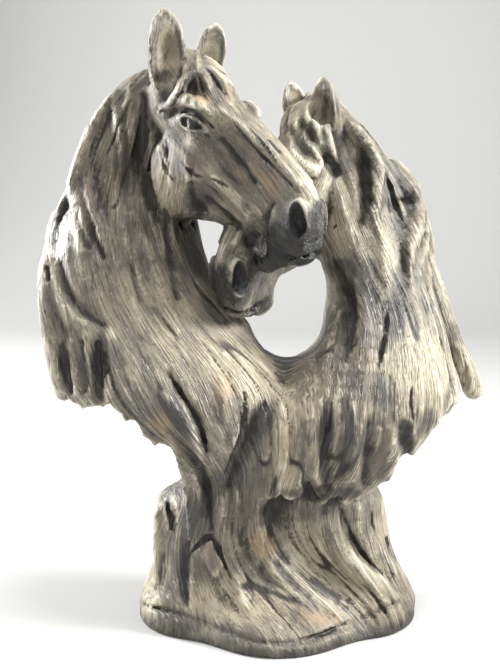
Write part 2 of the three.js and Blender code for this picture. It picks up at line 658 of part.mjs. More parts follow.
/** Tufts of the forelocks between the ears, in shares of each head's length. */
const TALL_FORELOCK = [
  [[-0.02, 0.02, 0.10], [0.06, 0.06, 0.12], [0.13, 0.085, 0.085], [0.16, 0.10, 0.03]],
  [[-0.02, 0, 0.12], [0.08, 0.03, 0.135], [0.17, 0.045, 0.125], [0.235, 0.05, 0.10]],
  [[-0.02, -0.03, 0.12], [0.08, -0.02, 0.14], [0.17, 0, 0.135], [0.24, 0.02, 0.115]],
];
const OTHER_FORELOCK = [
  [[-0.03, 0.02, 0.10], [0.06, 0.05, 0.13], [0.14, 0.07, 0.10], [0.18, 0.09, 0.04]],
  [[-0.03, 0.05, 0.10], [0.06, 0.09, 0.10], [0.14, 0.12, 0.02], [0.20, 0.13, -0.10]],
  [[-0.02, -0.02, 0.12], [0.08, -0.01, 0.14], [0.16, 0.02, 0.13], [0.22, 0.04, 0.11]],
];

/** The bust as a closed mesh, centred over its footprint with its underside at height zero. */
function modelBust() {
  const clay = new Clay(CLAY_LOW.clone().multiplyScalar(UNIT), CLAY_HIGH.clone().multiplyScalar(UNIT), GRID_PITCH * UNIT);
  modelBody(clay);
  modelLocks(clay);
  const tall = headPose(vec(-45, 14, 388).multiplyScalar(UNIT), 1, 36, 40.5, HEAD_LENGTH);
  const other = headPose(vec(50, 32, 361).multiplyScalar(UNIT), -1, 40, 50, HEAD_LENGTH * SECOND_HEAD_SHARE);
  modelHead(clay, tall, { crest: 0.055, chinLift: 0, forelock: TALL_FORELOCK });
  modelHead(clay, other, { crest: -0.005, chinLift: 0.055, forelock: OTHER_FORELOCK });
  const ears = [
    [[-56, 6, 380], [-58, 0, 431], [0.25, -0.95, 0]],
    [[-31, 32, 386], [-26, 28, 423], [0.1, -0.95, 0]],
    [[56, 18, 352], [50, 12, 386], [-0.7, -0.7, 0]],
    [[34, 38, 354], [28, 30, 383], [0.5, -0.85, 0]],
  ];
  ears.forEach(([base, tip, opening]) => {
    modelEar(clay, vec(...base).multiplyScalar(UNIT), vec(...tip).multiplyScalar(UNIT), vec(...opening));
  });
  return new Thinner(skin(clay)).thin(TRIANGLES_KEPT);
}

/** Cuts the bust flat at height zero and centres it, as a geometry. */
async function standFlat({ places, triangles }) {
  const wasm = await Module();
  wasm.setup();
  const solid = (position, index) => new wasm.Manifold(new wasm.Mesh({
    numProp: 3, vertProperties: new Float32Array(position), triVerts: new Uint32Array(index),
  }));
  const reach = HEIGHT;
  const ground = new THREE.BoxGeometry(2 * reach, 2 * reach, reach).translate(0, 0, -reach / 2);
  ground.deleteAttribute('normal');
  ground.deleteAttribute('uv');
  const block = mergeVertices(ground);
  const { vertProperties, triVerts } = solid(places, triangles)
    .subtract(solid(block.getAttribute('position').array, block.getIndex().array))
    .getMesh();
  const cast = new THREE.BufferGeometry();
  cast.setAttribute('position', new THREE.BufferAttribute(vertProperties, 3));
  cast.setIndex(new THREE.BufferAttribute(triVerts, 1));
  cast.computeBoundingBox();
  const middle = cast.boundingBox.getCenter(vec(0, 0, 0));
  return cast.translate(-middle.x, -middle.y, 0);
}

const group = new THREE.Group();
const resin = new THREE.MeshStandardMaterial({ color: 0x9c917b, roughness: 0.55, metalness: 0 });
const casting = new THREE.Mesh(await standFlat(modelBust()), resin);
casting.name = 'horse_pair_casting';
group.add(casting);

export default group;
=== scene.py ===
"""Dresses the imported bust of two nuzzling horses: the same casting, carved finer and painted as driftwood.

The bust is modelled as clay: distances on a fine grid, where eggs, lofts and strands are melted
together or cut away. The clay is skinned, thinned, scored along the run of the wood and painted.
Sizes are millimetres of the drawn bust, 430 tall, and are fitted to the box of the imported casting.
"""
from __future__ import annotations

import logging
import math
from dataclasses import dataclass, field
from enum import Enum
from functools import reduce

import bpy
import numpy as np
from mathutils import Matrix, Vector

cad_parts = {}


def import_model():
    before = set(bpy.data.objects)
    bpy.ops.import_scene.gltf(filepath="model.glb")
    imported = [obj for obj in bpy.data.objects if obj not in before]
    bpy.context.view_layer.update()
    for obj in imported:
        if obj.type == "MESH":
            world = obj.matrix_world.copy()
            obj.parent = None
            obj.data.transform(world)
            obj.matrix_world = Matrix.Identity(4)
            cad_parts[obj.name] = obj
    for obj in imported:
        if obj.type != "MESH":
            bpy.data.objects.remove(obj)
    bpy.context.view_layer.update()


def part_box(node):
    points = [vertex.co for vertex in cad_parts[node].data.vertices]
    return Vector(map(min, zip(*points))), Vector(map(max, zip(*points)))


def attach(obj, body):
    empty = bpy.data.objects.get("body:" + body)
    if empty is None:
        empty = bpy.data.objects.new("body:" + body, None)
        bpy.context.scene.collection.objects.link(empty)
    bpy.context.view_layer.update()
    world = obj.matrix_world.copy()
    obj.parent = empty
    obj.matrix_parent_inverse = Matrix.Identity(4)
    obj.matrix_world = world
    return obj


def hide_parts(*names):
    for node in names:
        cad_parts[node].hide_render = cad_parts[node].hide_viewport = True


LOG = logging.getLogger("horse_bust")
CASTING = "horse_pair_casting"
# Size of a cell of the clay, in drawn millimetres.
PITCH = 1.3
TRIANGLES_KEPT = 190000
# The place that the camera looks at, in drawn millimetres.
LOOKED_AT = (0, 0, 209)
# Rounds of smoothing to measure swells over, and the size in metres and share that each counts with.
ROUNDS = (6, 60)
# Raised places take the dry-brushed cream; recessed places take painted shade.
RAISED = ((0.0005, 0.5), (0.0022, 0.3))
RECESSED = ((0.0006, 0.4), (0.0018, 0.8))

Triple = tuple[float, float, float]
Row = tuple[float, ...]
Spot = tuple[float, float]
Line = tuple[list[Spot], list[float]]
Colour = tuple[float, float, float, float]
Socket = bpy.types.NodeSocket


def smooth_step(value: np.ndarray, low: float, high: float) -> np.ndarray:
    """Returns 0 below low, 1 above high and an even curve between them."""
    share = np.clip((value - low) / (high - low), 0.0, 1.0)
    return share * share * (3.0 - 2.0 * share)


def melt(a: np.ndarray, b: np.ndarray, reach: float) -> np.ndarray:
    """Rounds the valley where two distances meet.

    Args:
        a: Distances to the first shape.
        b: Distances to the second shape.
        reach: Width of the rounding.

    Returns:
        Distances to both shapes together.
    """
    share = np.maximum(reach - np.abs(a - b), 0.0) / reach
    return np.minimum(a, b) - share * share * (reach / 4.0)


def smooth_rows(rows: list[Row], steps: int = 96) -> tuple[np.ndarray, np.ndarray]:
    """Fills in rows of a station and its values with a smooth curve through them.

    Args:
        rows: Stations in rising order, each with its values.
        steps: Number of even steps from the first station to the last.

    Returns:
        The even stations, and the values there, one column for each station.
    """
    known = np.array(rows, dtype=float)
    station, value = known[:, 0], known[:, 1:]
    slope = np.gradient(value, station, axis=0) if len(rows) > 2 else np.repeat(
        [(value[1] - value[0]) / (station[1] - station[0])], 2, axis=0)
    at = np.linspace(station[0], station[-1], steps + 1)
    i = np.clip(np.searchsorted(station, at, side="right") - 1, 0, len(rows) - 2)
    span = (station[i + 1] - station[i])[:, None]
    f = (at[:, None] - station[i][:, None]) / span
    f2, f3 = f * f, f * f * f
    curve = (value[i] * (2 * f3 - 3 * f2 + 1) + slope[i] * span * (f3 - 2 * f2 + f)
             + value[i + 1] * (3 * f2 - 2 * f3) + slope[i + 1] * span * (f3 - f2))
    return at.astype(np.float32), curve.T.astype(np.float32)


@dataclass(frozen=True)
class Pose:
    """Axes for a free form: where it starts, its long, sideways and upward directions, and its size."""

    origin: Triple
    along: Triple
    side: Triple
    up: Triple
    size: float = 1.0

    def point(self, t: float, s: float, u: float) -> np.ndarray:
        """Returns the place that is t along, s sideways and u up, in shares of the size."""
        shift = t * np.array(self.along) + s * np.array(self.side) + u * np.array(self.up)
        return np.array(self.origin) + self.size * shift

    def local(self, x: np.ndarray, y: np.ndarray, z: np.ndarray) -> list[np.ndarray]:
        """Returns places as shares of the size along, sideways and up.

        Args:
            x: Places to the right, in drawn millimetres.
            y: Places to the back.
            z: Heights.

        Returns:
            The shares along, sideways and up.
        """
        px, py, pz = x - self.origin[0], y - self.origin[1], z - self.origin[2]
        return [(px * np.float32(a[0] / self.size) + py * np.float32(a[1] / self.size)
                 + pz * np.float32(a[2] / self.size)) for a in (self.along, self.side, self.up)]


UPRIGHT = Pose((0, 0, 0), (0, 0, 1), (1, 0, 0), (0, 1, 0))


class Shape:
    """A closed form that knows its box and the distance to its surface, negative inside."""

    low: np.ndarray
    high: np.ndarray

    def distance(self, x: np.ndarray, y: np.ndarray, z: np.ndarray) -> np.ndarray:
        """Returns the distance from each place to the surface."""
        raise NotImplementedError

    def box(self, points: np.ndarray, margin: float) -> None:
        """Sets the box around some points, grown by a margin."""
        self.low, self.high = points.min(0) - margin, points.max(0) + margin


class Loft(Shape):
    """A body along a pose's long axis. Rows: station, side middle, half width, lowest, highest."""

    def __init__(self, pose: Pose, rows: list[Row], power: float = 2.0) -> None:
        """Keeps the pose, the rows and how square the section is.

        Args:
            pose: The pose that it lies in.
            rows: Station, side middle, half width, lowest and highest.
            power: How square the section is, 2 for an ellipse.
        """
        self.pose, self.power = pose, power
        self.first, self.last = rows[0][0], rows[-1][0]
        self.stations, self.values = smooth_rows(rows)
        ends = [pose.point(t, m + e * w, v) for t, m, w, lo, hi in rows for e in (-1, 1) for v in (lo, hi)]
        self.box(np.array(ends), 0)

    def distance(self, x: np.ndarray, y: np.ndarray, z: np.ndarray) -> np.ndarray:
        """Returns the distance from each place to the surface.

        Args:
            x: Places to the right, in drawn millimetres.
            y: Places to the back.
            z: Heights.

        Returns:
            The distances, negative inside.
        """
        t, s, u = self.pose.local(x, y, z)
        middle, width, low, high = (np.interp(t, self.stations, v).astype(np.float32) for v in self.values)
        width = np.maximum(width, 1e-3)
        half = np.maximum((high - low) / 2, 1e-3)
        s, u = np.abs(s - middle), np.abs(u - (low + high) / 2)
        a, b = s / width, u / half
        k0 = (a ** self.power + b ** self.power + 1e-12) ** (1 / self.power)
        k1 = np.sqrt((a / width) ** 2 + (b / half) ** 2) + 1e-6
        beyond = np.maximum(self.first - t, t - self.last)
        cross = np.where(k0 > 1e-3, k0 * (k0 - 1) / k1, -np.minimum(width, half))
        return np.maximum(cross, beyond) * self.pose.size


class Egg(Shape):
    """An egg at a place in a pose, with its radii along, sideways and up."""

    def __init__(self, pose: Pose, place: Triple, radii: Triple) -> None:
        """Keeps the egg's own pose and radii.

        Args:
            pose: The pose that it lies in.
            place: The middle, in shares of the pose's size.
            radii: Radii along, sideways and up.
        """
        centre = pose.point(*place)
        self.pose = Pose(tuple(centre), pose.along, pose.side, pose.up, pose.size)
        self.radii = radii
        arms = [np.abs(np.array(axis)) * r * pose.size
                for axis, r in zip((pose.along, pose.side, pose.up), radii)]
        self.low, self.high = centre - sum(arms), centre + sum(arms)

    def distance(self, x: np.ndarray, y: np.ndarray, z: np.ndarray) -> np.ndarray:
        """Returns the distance from each place to the surface.

        Args:
            x: Places to the right, in drawn millimetres.
            y: Places to the back.
            z: Heights.

        Returns:
            The distances, negative inside.
        """
        shares = [v / r for v, r in zip(self.pose.local(x, y, z), self.radii)]
        k0 = np.sqrt(sum(v * v for v in shares))
        k1 = np.sqrt(sum((v / r) ** 2 for v, r in zip(shares, self.radii))) + 1e-6
        return k0 * (k0 - 1) / k1 * self.pose.size


class Strand(Shape):
    """A tapering strand through places of a pose. Radii run from root to tip in the pose's size."""

    def __init__(self, pose: Pose, places: list[Triple], radii: list[float], closed: bool = False,
                 pieces: int = 3) -> None:
        """Keeps a smooth spine through the places and its thickness.

        Args:
            pose: The pose that it lies in.
            places: Places of the spine, in shares of the pose's size.
            radii: Radii from root to tip.
            closed: Whether it closes to a ring.
            pieces: Steps from one place to the next.
        """
        nodes = np.array([pose.point(*p) for p in places])
        self.spine = self.curve(nodes, pieces, closed)
        at = np.linspace(0, len(radii) - 1, len(self.spine))
        self.thick = np.interp(at, np.arange(len(radii)), radii) * pose.size
        self.box(self.spine, self.thick.max())

    @staticmethod
    def curve(nodes: np.ndarray, pieces: int, closed: bool) -> np.ndarray:
        """Returns a rounded run of points through the nodes.

        Args:
            nodes: The places that it passes through.
            pieces: Steps from one place to the next.
            closed: Whether it closes to a ring.

        Returns:
            The points of the spine.
        """
        ring = np.vstack([nodes[-1:], nodes, nodes[:2]]) if closed else np.vstack(
            [2 * nodes[:1] - nodes[1:2], nodes, 2 * nodes[-1:] - nodes[-2:-1]])
        points = []
        for a, b, c, d in zip(ring, ring[1:], ring[2:], ring[3:]):
            for f in np.arange(pieces) / pieces:
                points.append(0.5 * (2 * b + (c - a) * f + (2 * a - 5 * b + 4 * c - d) * f * f
                                     + (3 * b - a - 3 * c + d) * f ** 3))
        return np.array(points + [ring[-2]], dtype=np.float32)

    def distance(self, x: np.ndarray, y: np.ndarray, z: np.ndarray) -> np.ndarray:
        """Returns the distance from each place to the surface.

        Args:
            x: Places to the right, in drawn millimetres.
            y: Places to the back.
            z: Heights.

        Returns:
            The distances, negative inside.
        """
        best = None
        for a, b, thin, thick in zip(self.spine, self.spine[1:], self.thick, self.thick[1:]):
            ab = b - a
            px, py, pz = x - a[0], y - a[1], z - a[2]
            f = np.clip((px * ab[0] + py * ab[1] + pz * ab[2]) / max(float(ab @ ab), 1e-9), 0, 1)
            d = np.sqrt((px - ab[0] * f) ** 2 + (py - ab[1] * f) ** 2 + (pz - ab[2] * f) ** 2)
            d = d - (thin + (thick - thin) * f)
            best = d if best is None else np.minimum(best, d)
        return best.astype(np.float32)


class Noise:
    """A smooth random field that is the same on every run."""

    def __init__(self, seed: int) -> None:
        """Fills the wrapped lattice."""
        self.side = 64
        self.lattice = (np.random.default_rng(seed).random((self.side,) * 3) * 2 - 1).astype(np.float32)

    def at(self, places: np.ndarray) -> np.ndarray:
        """Returns the field at places counted in lattice cells, from -1 to 1.

        Args:
            places: Places counted in lattice cells.

        Returns:
            The values of the field.
        """
        cell = np.floor(places).astype(int)
        f = (places - cell).astype(np.float32)
        f = f * f * f * (f * (f * 6 - 15) + 10)
        total = np.zeros(len(places), np.float32)
        for corner in np.ndindex(2, 2, 2):
            share = np.prod(np.where(np.array(corner), f, 1 - f), axis=1)
            i, j, k = ((cell + corner) % self.side).T
            total += share * self.lattice[i, j, k]
        return total


class Clay:
    """A grid of distances to the surface, negative inside the clay."""

    # Distance that open air starts with.
    AIR = 60.0

    def __init__(self, low: Triple, high: Triple, pitch: float) -> None:
        """Fills the grid with open air.

        Args:
            low: The low corner.
            high: The high corner.
            pitch: Size of a cell.
        """
        self.low, self.pitch = np.array(low, np.float32), np.float32(pitch)
        self.count = np.ceil((np.array(high) - self.low) / pitch).astype(int) + 1
        self.field = np.full(self.count, self.AIR, np.float32)
        self.axes = [self.low[k] + self.pitch * np.arange(self.count[k], dtype=np.float32) for k in range(3)]

    def window(self, shape: Shape, reach: float) -> tuple[tuple[slice, ...], list[np.ndarray]]:
        """Returns the part of the grid that a shape can change, and its coordinates.

        Args:
            shape: The shape.
            reach: Width of the melted edge.

        Returns:
            The part as slices, and its coordinates.
        """
        margin = reach + 2 * self.pitch
        first = np.clip(np.floor((shape.low - margin - self.low) / self.pitch), 0, self.count - 1).astype(int)
        last = np.clip(np.ceil((shape.high + margin - self.low) / self.pitch), 0, self.count - 1).astype(int)
        part = tuple(slice(a, b + 1) for a, b in zip(first, last))
        x, y, z = (axis[p] for axis, p in zip(self.axes, part))
        return part, [x[:, None, None], y[None, :, None], z[None, None, :]]

    def add(self, shape: Shape, reach: float = 6.0) -> None:
        """Melts a shape on."""
        part, places = self.window(shape, reach)
        self.field[part] = melt(self.field[part], shape.distance(*places), reach)

    def cut(self, shape: Shape, reach: float = 4.0) -> None:
        """Cuts a shape away."""
        part, places = self.window(shape, reach)
        self.field[part] = -melt(-self.field[part], shape.distance(*places), reach)

    def front(self, x: float, z: float, hidden: float = 34.0) -> float:
        """Returns how far forward the clay reaches at a place in the front view.

        Args:
            x: The place across.
            z: The height.
            hidden: The answer where there is no clay.

        Returns:
            The depth of the first clay met.
        """
        i, _, k = np.round((np.array([x, 0, z]) - self.low) / self.pitch).astype(int)
        solid = np.nonzero(self.field[i, :, k] < 0)[0]
        return float(self.axes[1][solid[0]]) if len(solid) else hidden

    def skin(self) -> tuple[np.ndarray, np.ndarray]:
        """Skins the clay with one vertex to each cell that the surface crosses.

        Returns:
            The vertices, and the four-sided faces between them.
        """
        inside = self.field < 0
        corners = list(np.ndindex(2, 2, 2))
        cells = tuple(self.count - 1)
        amount = np.zeros(cells, np.uint8)
        for c in corners:
            amount += inside[tuple(slice(o, o + n) for o, n in zip(c, cells))]
        crossed = np.argwhere((amount > 0) & (amount < 8))
        value = np.stack([self.field[tuple((crossed + c).T)] for c in corners], 1)
        total, hits = np.zeros((len(crossed), 3), np.float32), np.zeros((len(crossed), 1), np.float32)
        for a, b in [(a, b) for a in range(8) for b in range(a + 1, 8)
                     if sum(p != q for p, q in zip(corners[a], corners[b])) == 1]:
            va, vb = value[:, a], value[:, b]
            meets = (va < 0) != (vb < 0)
            f = np.where(meets, va / np.where(meets, va - vb, 1), 0)[:, None]
            ends = np.array(corners[a], np.float32), np.array(corners[b], np.float32)
            total += meets[:, None] * (ends[0] + (ends[1] - ends[0]) * f)
            hits += meets[:, None]
        places = self.low + self.pitch * (crossed + total / hits)
        number = np.full(cells, -1, np.int32)
        number[tuple(crossed.T)] = np.arange(len(crossed))
        quads = [self.walls(inside, number, axis) for axis in range(3)]
        return places.astype(np.float32), np.vstack(quads)

    def walls(self, inside: np.ndarray, number: np.ndarray, axis: int) -> np.ndarray:
        """Returns the faces across the grid lines of one axis that the surface crosses.

        Args:
            inside: Which corners of the grid lie in the clay.
            number: The vertex number of each cell.
            axis: The axis of the grid lines.

        Returns:
            Four vertex numbers to a face.
        """
        b, c = (axis + 1) % 3, (axis + 2) % 3
        first = [slice(None)] * 3
        second = [slice(None)] * 3
        first[axis], second[axis] = slice(0, -1), slice(1, None)
        start, end = inside[tuple(first)], inside[tuple(second)]
        faces = []
        for leaving in (True, False):
            at = np.argwhere((start != end) & (start == leaving))
            across = at[:, [b, c]]
            at = at[np.all((across > 0) & (across < self.count[[b, c]] - 1), axis=1)]
            ring = []
            for ob, oc in ((1, 1), (0, 1), (0, 0), (1, 0)):
                cell = at.copy()
                cell[:, b] -= ob
                cell[:, c] -= oc
                ring.append(number[tuple(cell.T)])
            faces.append(np.stack(ring if leaving else ring[::-1], 1))
        return np.vstack(faces)


def head_pose(poll: Triple, heading: int, yaw: float, dip: float, size: float) -> Pose:
    """Returns the axes of a head.

    Args:
        poll: Where the long axis of the head starts.
        heading: 1 to face right, -1 to face left.
        yaw: Turn of the nose to the front, in degrees.
        dip: Fall of the nose below level, in degrees.
        size: Length of the head.

    Returns:
        The pose, with its side axis towards the viewer.
    """
    c, s = math.cos(math.radians(yaw)), math.sin(math.radians(yaw))
    cd, sd = math.cos(math.radians(dip)), math.sin(math.radians(dip))
    return Pose(poll, (heading * cd * c, -cd * s, -sd), (-heading * s, -c, 0),
                (heading * sd * c, -sd * s, cd), size)


def tilted(pose: Pose, place: Triple, turn: float) -> Pose:
    """Returns a pose at a place on a head, with its long axis turned upwards by some degrees.

    Args:
        pose: The pose of the head.
        place: The place on the head, in shares of its size.
        turn: The turn, in degrees.

    Returns:
        The pose.
    """
    c, s = math.cos(math.radians(turn)), math.sin(math.radians(turn))
    along, up = np.array(pose.along), np.array(pose.up)
    return Pose(tuple(pose.point(*place)), tuple(along * c + up * s), pose.side, tuple(up * c - along * s),
                pose.size)


@dataclass
class Ear:
    """A leaf-shaped ear, hollowed on the side that its opening points to."""

    base: Triple
    tip: Triple
    opening: Triple
    width: float = 1.0

    def pose(self) -> Pose:
        """Returns axes from base to tip, with up through the opening.

        Returns:
            The pose.
        """
        along = np.subtract(self.tip, self.base).astype(float)
        length = float(np.linalg.norm(along))
        along /= length
        face = np.array(self.opening) - along * float(np.dot(self.opening, along))
        face /= np.linalg.norm(face)
        return Pose(self.base, tuple(along), tuple(np.cross(face, along)), tuple(face), length)

    def leaf(self) -> Shape:
        """Returns the solid leaf of the ear.

        Returns:
            The loft.
        """
        w = self.width
        return Loft(self.pose(), [
            (-0.25, 0, 0.17 * w, -0.18, 0.16), (0.05, 0, 0.235 * w, -0.21, 0.17),
            (0.35, 0, 0.265 * w, -0.19, 0.15), (0.65, 0, 0.245 * w, -0.15, 0.10),
            (0.84, 0, 0.190 * w, -0.11, 0.05), (0.95, 0, 0.110 * w, -0.07, 0.01),
            (1.00, 0, 0.05 * w, -0.04, -0.01)])

    def hollow(self) -> Shape:
        """Returns the space that the leaf is hollowed by."""
        return Egg(self.pose(), (0.47, 0, 0.23), (0.44, 0.175 * self.width, 0.215))

    def model(self, clay: Clay) -> None:
        """Adds the leaf and its rolled rim, and hollows it.

        Args:
            clay: The clay to work on.
        """
        pose = self.pose()
        w = self.width
        clay.add(self.leaf(), 4)
        clay.cut(self.hollow(), 2)
        for m in (-1, 1):
            rim = [(0.02, 0.19, 0.12), (0.30, 0.235, 0.11), (0.60, 0.225, 0.085), (0.84, 0.155, 0.03),
                   (0.97, 0.03, -0.01)]
            clay.add(Strand(pose, [(t, m * s * w, u) for t, s, u in rim], [0.025, 0.036, 0.034, 0.030]), 2.5)


@dataclass
class HorseHead:
    """One head, modelled in shares of its length. The near side is +s."""

    pose: Pose
    ears: list[Ear]
    crest: float
    chin_lift: float
    awake: bool
    forelock: list[list[Triple]]
    paint: dict[str, list[Shape]] = field(default_factory=dict)

    SKULL = [
        (-0.10, 0, 0.050, -0.20, 0.020), (-0.02, 0, 0.095, -0.26, 0.070), (0.08, 0, 0.118, -0.27, 0.098),
        (0.18, 0, 0.134, -0.27, 0.108), (0.30, 0, 0.128, -0.27, 0.106), (0.42, 0, 0.106, -0.25, 0.106),
        (0.56, 0, 0.084, -0.23, 0.108), (0.70, 0, 0.072, -0.22, 0.106), (0.80, 0, 0.070, -0.23, 0.099),
        (0.88, 0, 0.074, -0.25, 0.078), (0.94, 0, 0.072, -0.25, 0.038), (0.99, 0, 0.058, -0.235, -0.018),
        (1.03, 0, 0.036, -0.20, -0.065), (1.05, 0, 0.012, -0.16, -0.10)]
    JAW = [
        (0.08, 0, 0.040, -0.33, -0.15), (0.14, 0, 0.070, -0.38, -0.14), (0.20, 0, 0.090, -0.46, -0.12),
        (0.29, 0, 0.098, -0.52, -0.12), (0.38, 0, 0.094, -0.515, -0.12), (0.48, 0, 0.080, -0.45, -0.12),
        (0.56, 0, 0.065, -0.39, -0.13), (0.68, 0, 0.052, -0.335, -0.14), (0.75, 0, 0.050, -0.312, -0.15),
        (0.81, 0, 0.052, -0.330, -0.17), (0.87, 0, 0.052, -0.352, -0.20), (0.92, 0, 0.044, -0.33, -0.22),
        (0.96, 0, 0.030, -0.29, -0.22), (0.98, 0, 0.010, -0.26, -0.23)]

    def form(self) -> list[Shape]:
        """Returns the two main lofts of the head.

        Returns:
            The lofts of the skull and the jaw.
        """
        lifts = [self.chin_lift * smooth_step(row[0], 0.6, 0.85) for row in self.JAW]
        jaw = [(t, s, half, low + lift, high) for (t, s, half, low, high), lift in zip(self.JAW, lifts)]
        return [Loft(self.pose, self.SKULL, 2.3), Loft(self.pose, jaw, 2.2)]

    def keep(self, name: str, shape: Shape) -> Shape:
        """Remembers a shape whose surroundings are painted, and returns it."""
        self.paint.setdefault(name, []).append(shape)
        return shape

    def model(self, clay: Clay) -> None:
        """Adds the whole head.

        Args:
            clay: The clay to work on.
        """
        for shape, reach in zip(self.form(), (6, 8)):
            clay.add(shape, reach)
        clay.add(Egg(self.pose, (0.02, 0, self.crest), (0.10, 0.075, 0.070)), 8)
        for m in (1, -1):
            self.model_cheek(clay, m)
            self.model_nose(clay, m)
            self.model_eye(clay, m)
            self.model_nostril(clay, m)
            self.model_mouth(clay, m)
        clay.add(Egg(self.pose, (0.320, -0.128, 0.064), (0.060, 0.034, 0.040)), 5)
        for lock in self.forelock:
            sunk = [(t, s, u - 0.012) for t, s, u in lock]
            clay.add(Strand(self.pose, sunk, [0.012, 0.022, 0.023, 0.017, 0.006]), 2.5)
        for ear in self.ears:
            ear.model(clay)

    def model_cheek(self, clay: Clay, m: int) -> None:
        """Rounds one cheek, with the hollow before it on an awake head and the crease behind it.

        Args:
            clay: The clay to work on.
            m: 1 for the near side, -1 for the far side.
        """
        p = self.pose
        clay.add(Egg(p, (0.315, m * 0.072, -0.325), (0.190, 0.084, 0.195)), 4)
        if self.awake:
            clay.cut(Egg(p, (0.505, m * 0.150, -0.325), (0.075, 0.058, 0.085)), 9)
        rim = [(0.10, m * 0.05, -0.30), (0.14, m * 0.05, -0.40), (0.21, m * 0.05, -0.49),
               (0.30, m * 0.04, -0.548),
               (0.40, m * 0.04, -0.545), (0.49, m * 0.04, -0.475)]
        clay.cut(self.keep("line", Strand(p, rim, [0.012, 0.022, 0.020, 0.010])), 5)

    def model_nose(self, clay: Clay, m: int) -> None:
        """Draws the edge of the nose bone, the facial crest and the hollow between them.

        Args:
            clay: The clay to work on.
            m: 1 for the near side, -1 for the far side.
        """
        p = self.pose
        clay.cut(Egg(p, (0.58, m * 0.128, -0.035), (0.210, 0.048, 0.070)), 10)
        clay.add(Strand(p, [(0.30, m * 0.090, 0.055), (0.45, m * 0.066, 0.072), (0.62, m * 0.054, 0.080),
                            (0.80, m * 0.052, 0.074)], [0.012, 0.014, 0.013, 0.010]), 4)
        clay.add(Strand(p, [(0.31, m * 0.112, -0.140), (0.43, m * 0.104, -0.178), (0.56, m * 0.082, -0.192),
                            (0.70, m * 0.066, -0.192)], [0.020, 0.020, 0.016, 0.008]), 9)

    def model_eye(self, clay: Clay, m: int) -> None:
        """Sets an eye in its hollow, under a heavy brow; a drowsy head has only the brow and a closed lid.

        Args:
            clay: The clay to work on.
            m: 1 for the near side, -1 for the far side.
        """
        p = self.pose
        brow = [(0.135, m * 0.108, -0.085), (0.150, m * 0.132, -0.030), (0.190, m * 0.142, 0.008),
                (0.245, m * 0.134, 0.024), (0.300, m * 0.108, 0.018)]
        if not self.awake:
            clay.add(Egg(tilted(p, (0.245, m * 0.118, -0.012), -16), (0, 0, 0), (0.085, 0.046, 0.052)), 6)
            lid = [(0.190, m * 0.135, -0.085), (0.240, m * 0.150, -0.080), (0.290, m * 0.138, -0.062),
                   (0.330, m * 0.115, -0.050)]
            clay.cut(self.keep("line", Strand(p, lid, [0.003, 0.009, 0.009, 0.003])), 3)
            return
        clay.cut(Egg(p, (0.105, m * 0.152, -0.100), (0.050, 0.044, 0.058)), 6)
        clay.add(Strand(p, brow, [0.014, 0.028, 0.034, 0.028, 0.012]), 4)
        clay.cut(Egg(tilted(p, (0.248, m * 0.162, -0.068), 22), (0, 0, 0), (0.084, 0.040, 0.050)), 4)
        ball = Egg(p, (0.247, m * 0.108, -0.066), (0.040, 0.039, 0.038))
        clay.add(self.keep("eye", ball), 1.0)
        upper = [(0.176, m * 0.120, -0.104), (0.204, m * 0.148, -0.062), (0.245, m * 0.156, -0.036),
                 (0.290, m * 0.145, -0.030), (0.336, m * 0.110, -0.040)]
        lower = [(0.176, m * 0.120, -0.104), (0.214, m * 0.143, -0.108), (0.258, m * 0.147, -0.098),
                 (0.300, m * 0.136, -0.070), (0.336, m * 0.110, -0.040)]
        clay.add(Strand(p, upper, [0.006, 0.011, 0.011, 0.010, 0.005]), 2)
        clay.add(Strand(p, lower, [0.005, 0.008, 0.009, 0.008, 0.004]), 2)
        # The fold over the upper lid is darkened later: painted shadow under the lid.
        fold = [(t, m * (abs(s) - 0.006), u + 0.022) for t, s, u in upper]
        clay.cut(self.keep("line", Strand(p, fold, [0.003, 0.006, 0.007, 0.006, 0.003])), 2)
        bag = [(t, m * (abs(s) + 0.004), u - 0.026) for t, s, u in lower]
        clay.cut(Strand(p, bag[1:], [0.004, 0.006, 0.002]), 2.5)

    def model_nostril(self, clay: Clay, m: int) -> None:
        """Opens a flared nostril with a raised rim.

        Args:
            clay: The clay to work on.
            m: 1 for the near side, -1 for the far side.
        """
        p = self.pose
        hole = tilted(p, (0.912, m * 0.082, -0.028), -42)
        clay.add(Egg(hole, (0, -m * 0.022, 0), (0.084, 0.032, 0.058)), 5)
        ring = [((0.080 + 0.006 * math.sin(3 * a)) * math.cos(a), m * 0.001 * math.cos(2 * a),
                 (0.044 + 0.004 * math.cos(2 * a + 1)) * math.sin(a))
                for a in np.linspace(0, 2 * math.pi, 13)[:-1]]
        clay.add(Strand(hole, ring, [0.009, 0.006, 0.011, 0.005, 0.009], closed=True), 2.5)
        # The holes are kept to be painted near-black: painted shade inside the nostril.
        clay.cut(self.keep("dark", Egg(hole, (0.004, m * 0.018, -0.002), (0.074, 0.052, 0.036))), 2)
        clay.cut(self.keep("dark", Egg(hole, (0.030, m * 0.014, 0.012), (0.034, 0.046, 0.026))), 2)
        fold = [(0.835, m * 0.082, 0.040), (0.806, m * 0.094, -0.010), (0.818, m * 0.096, -0.066)]
        clay.cut(self.keep("line", Strand(p, fold, [0.006, 0.013, 0.005])), 3)

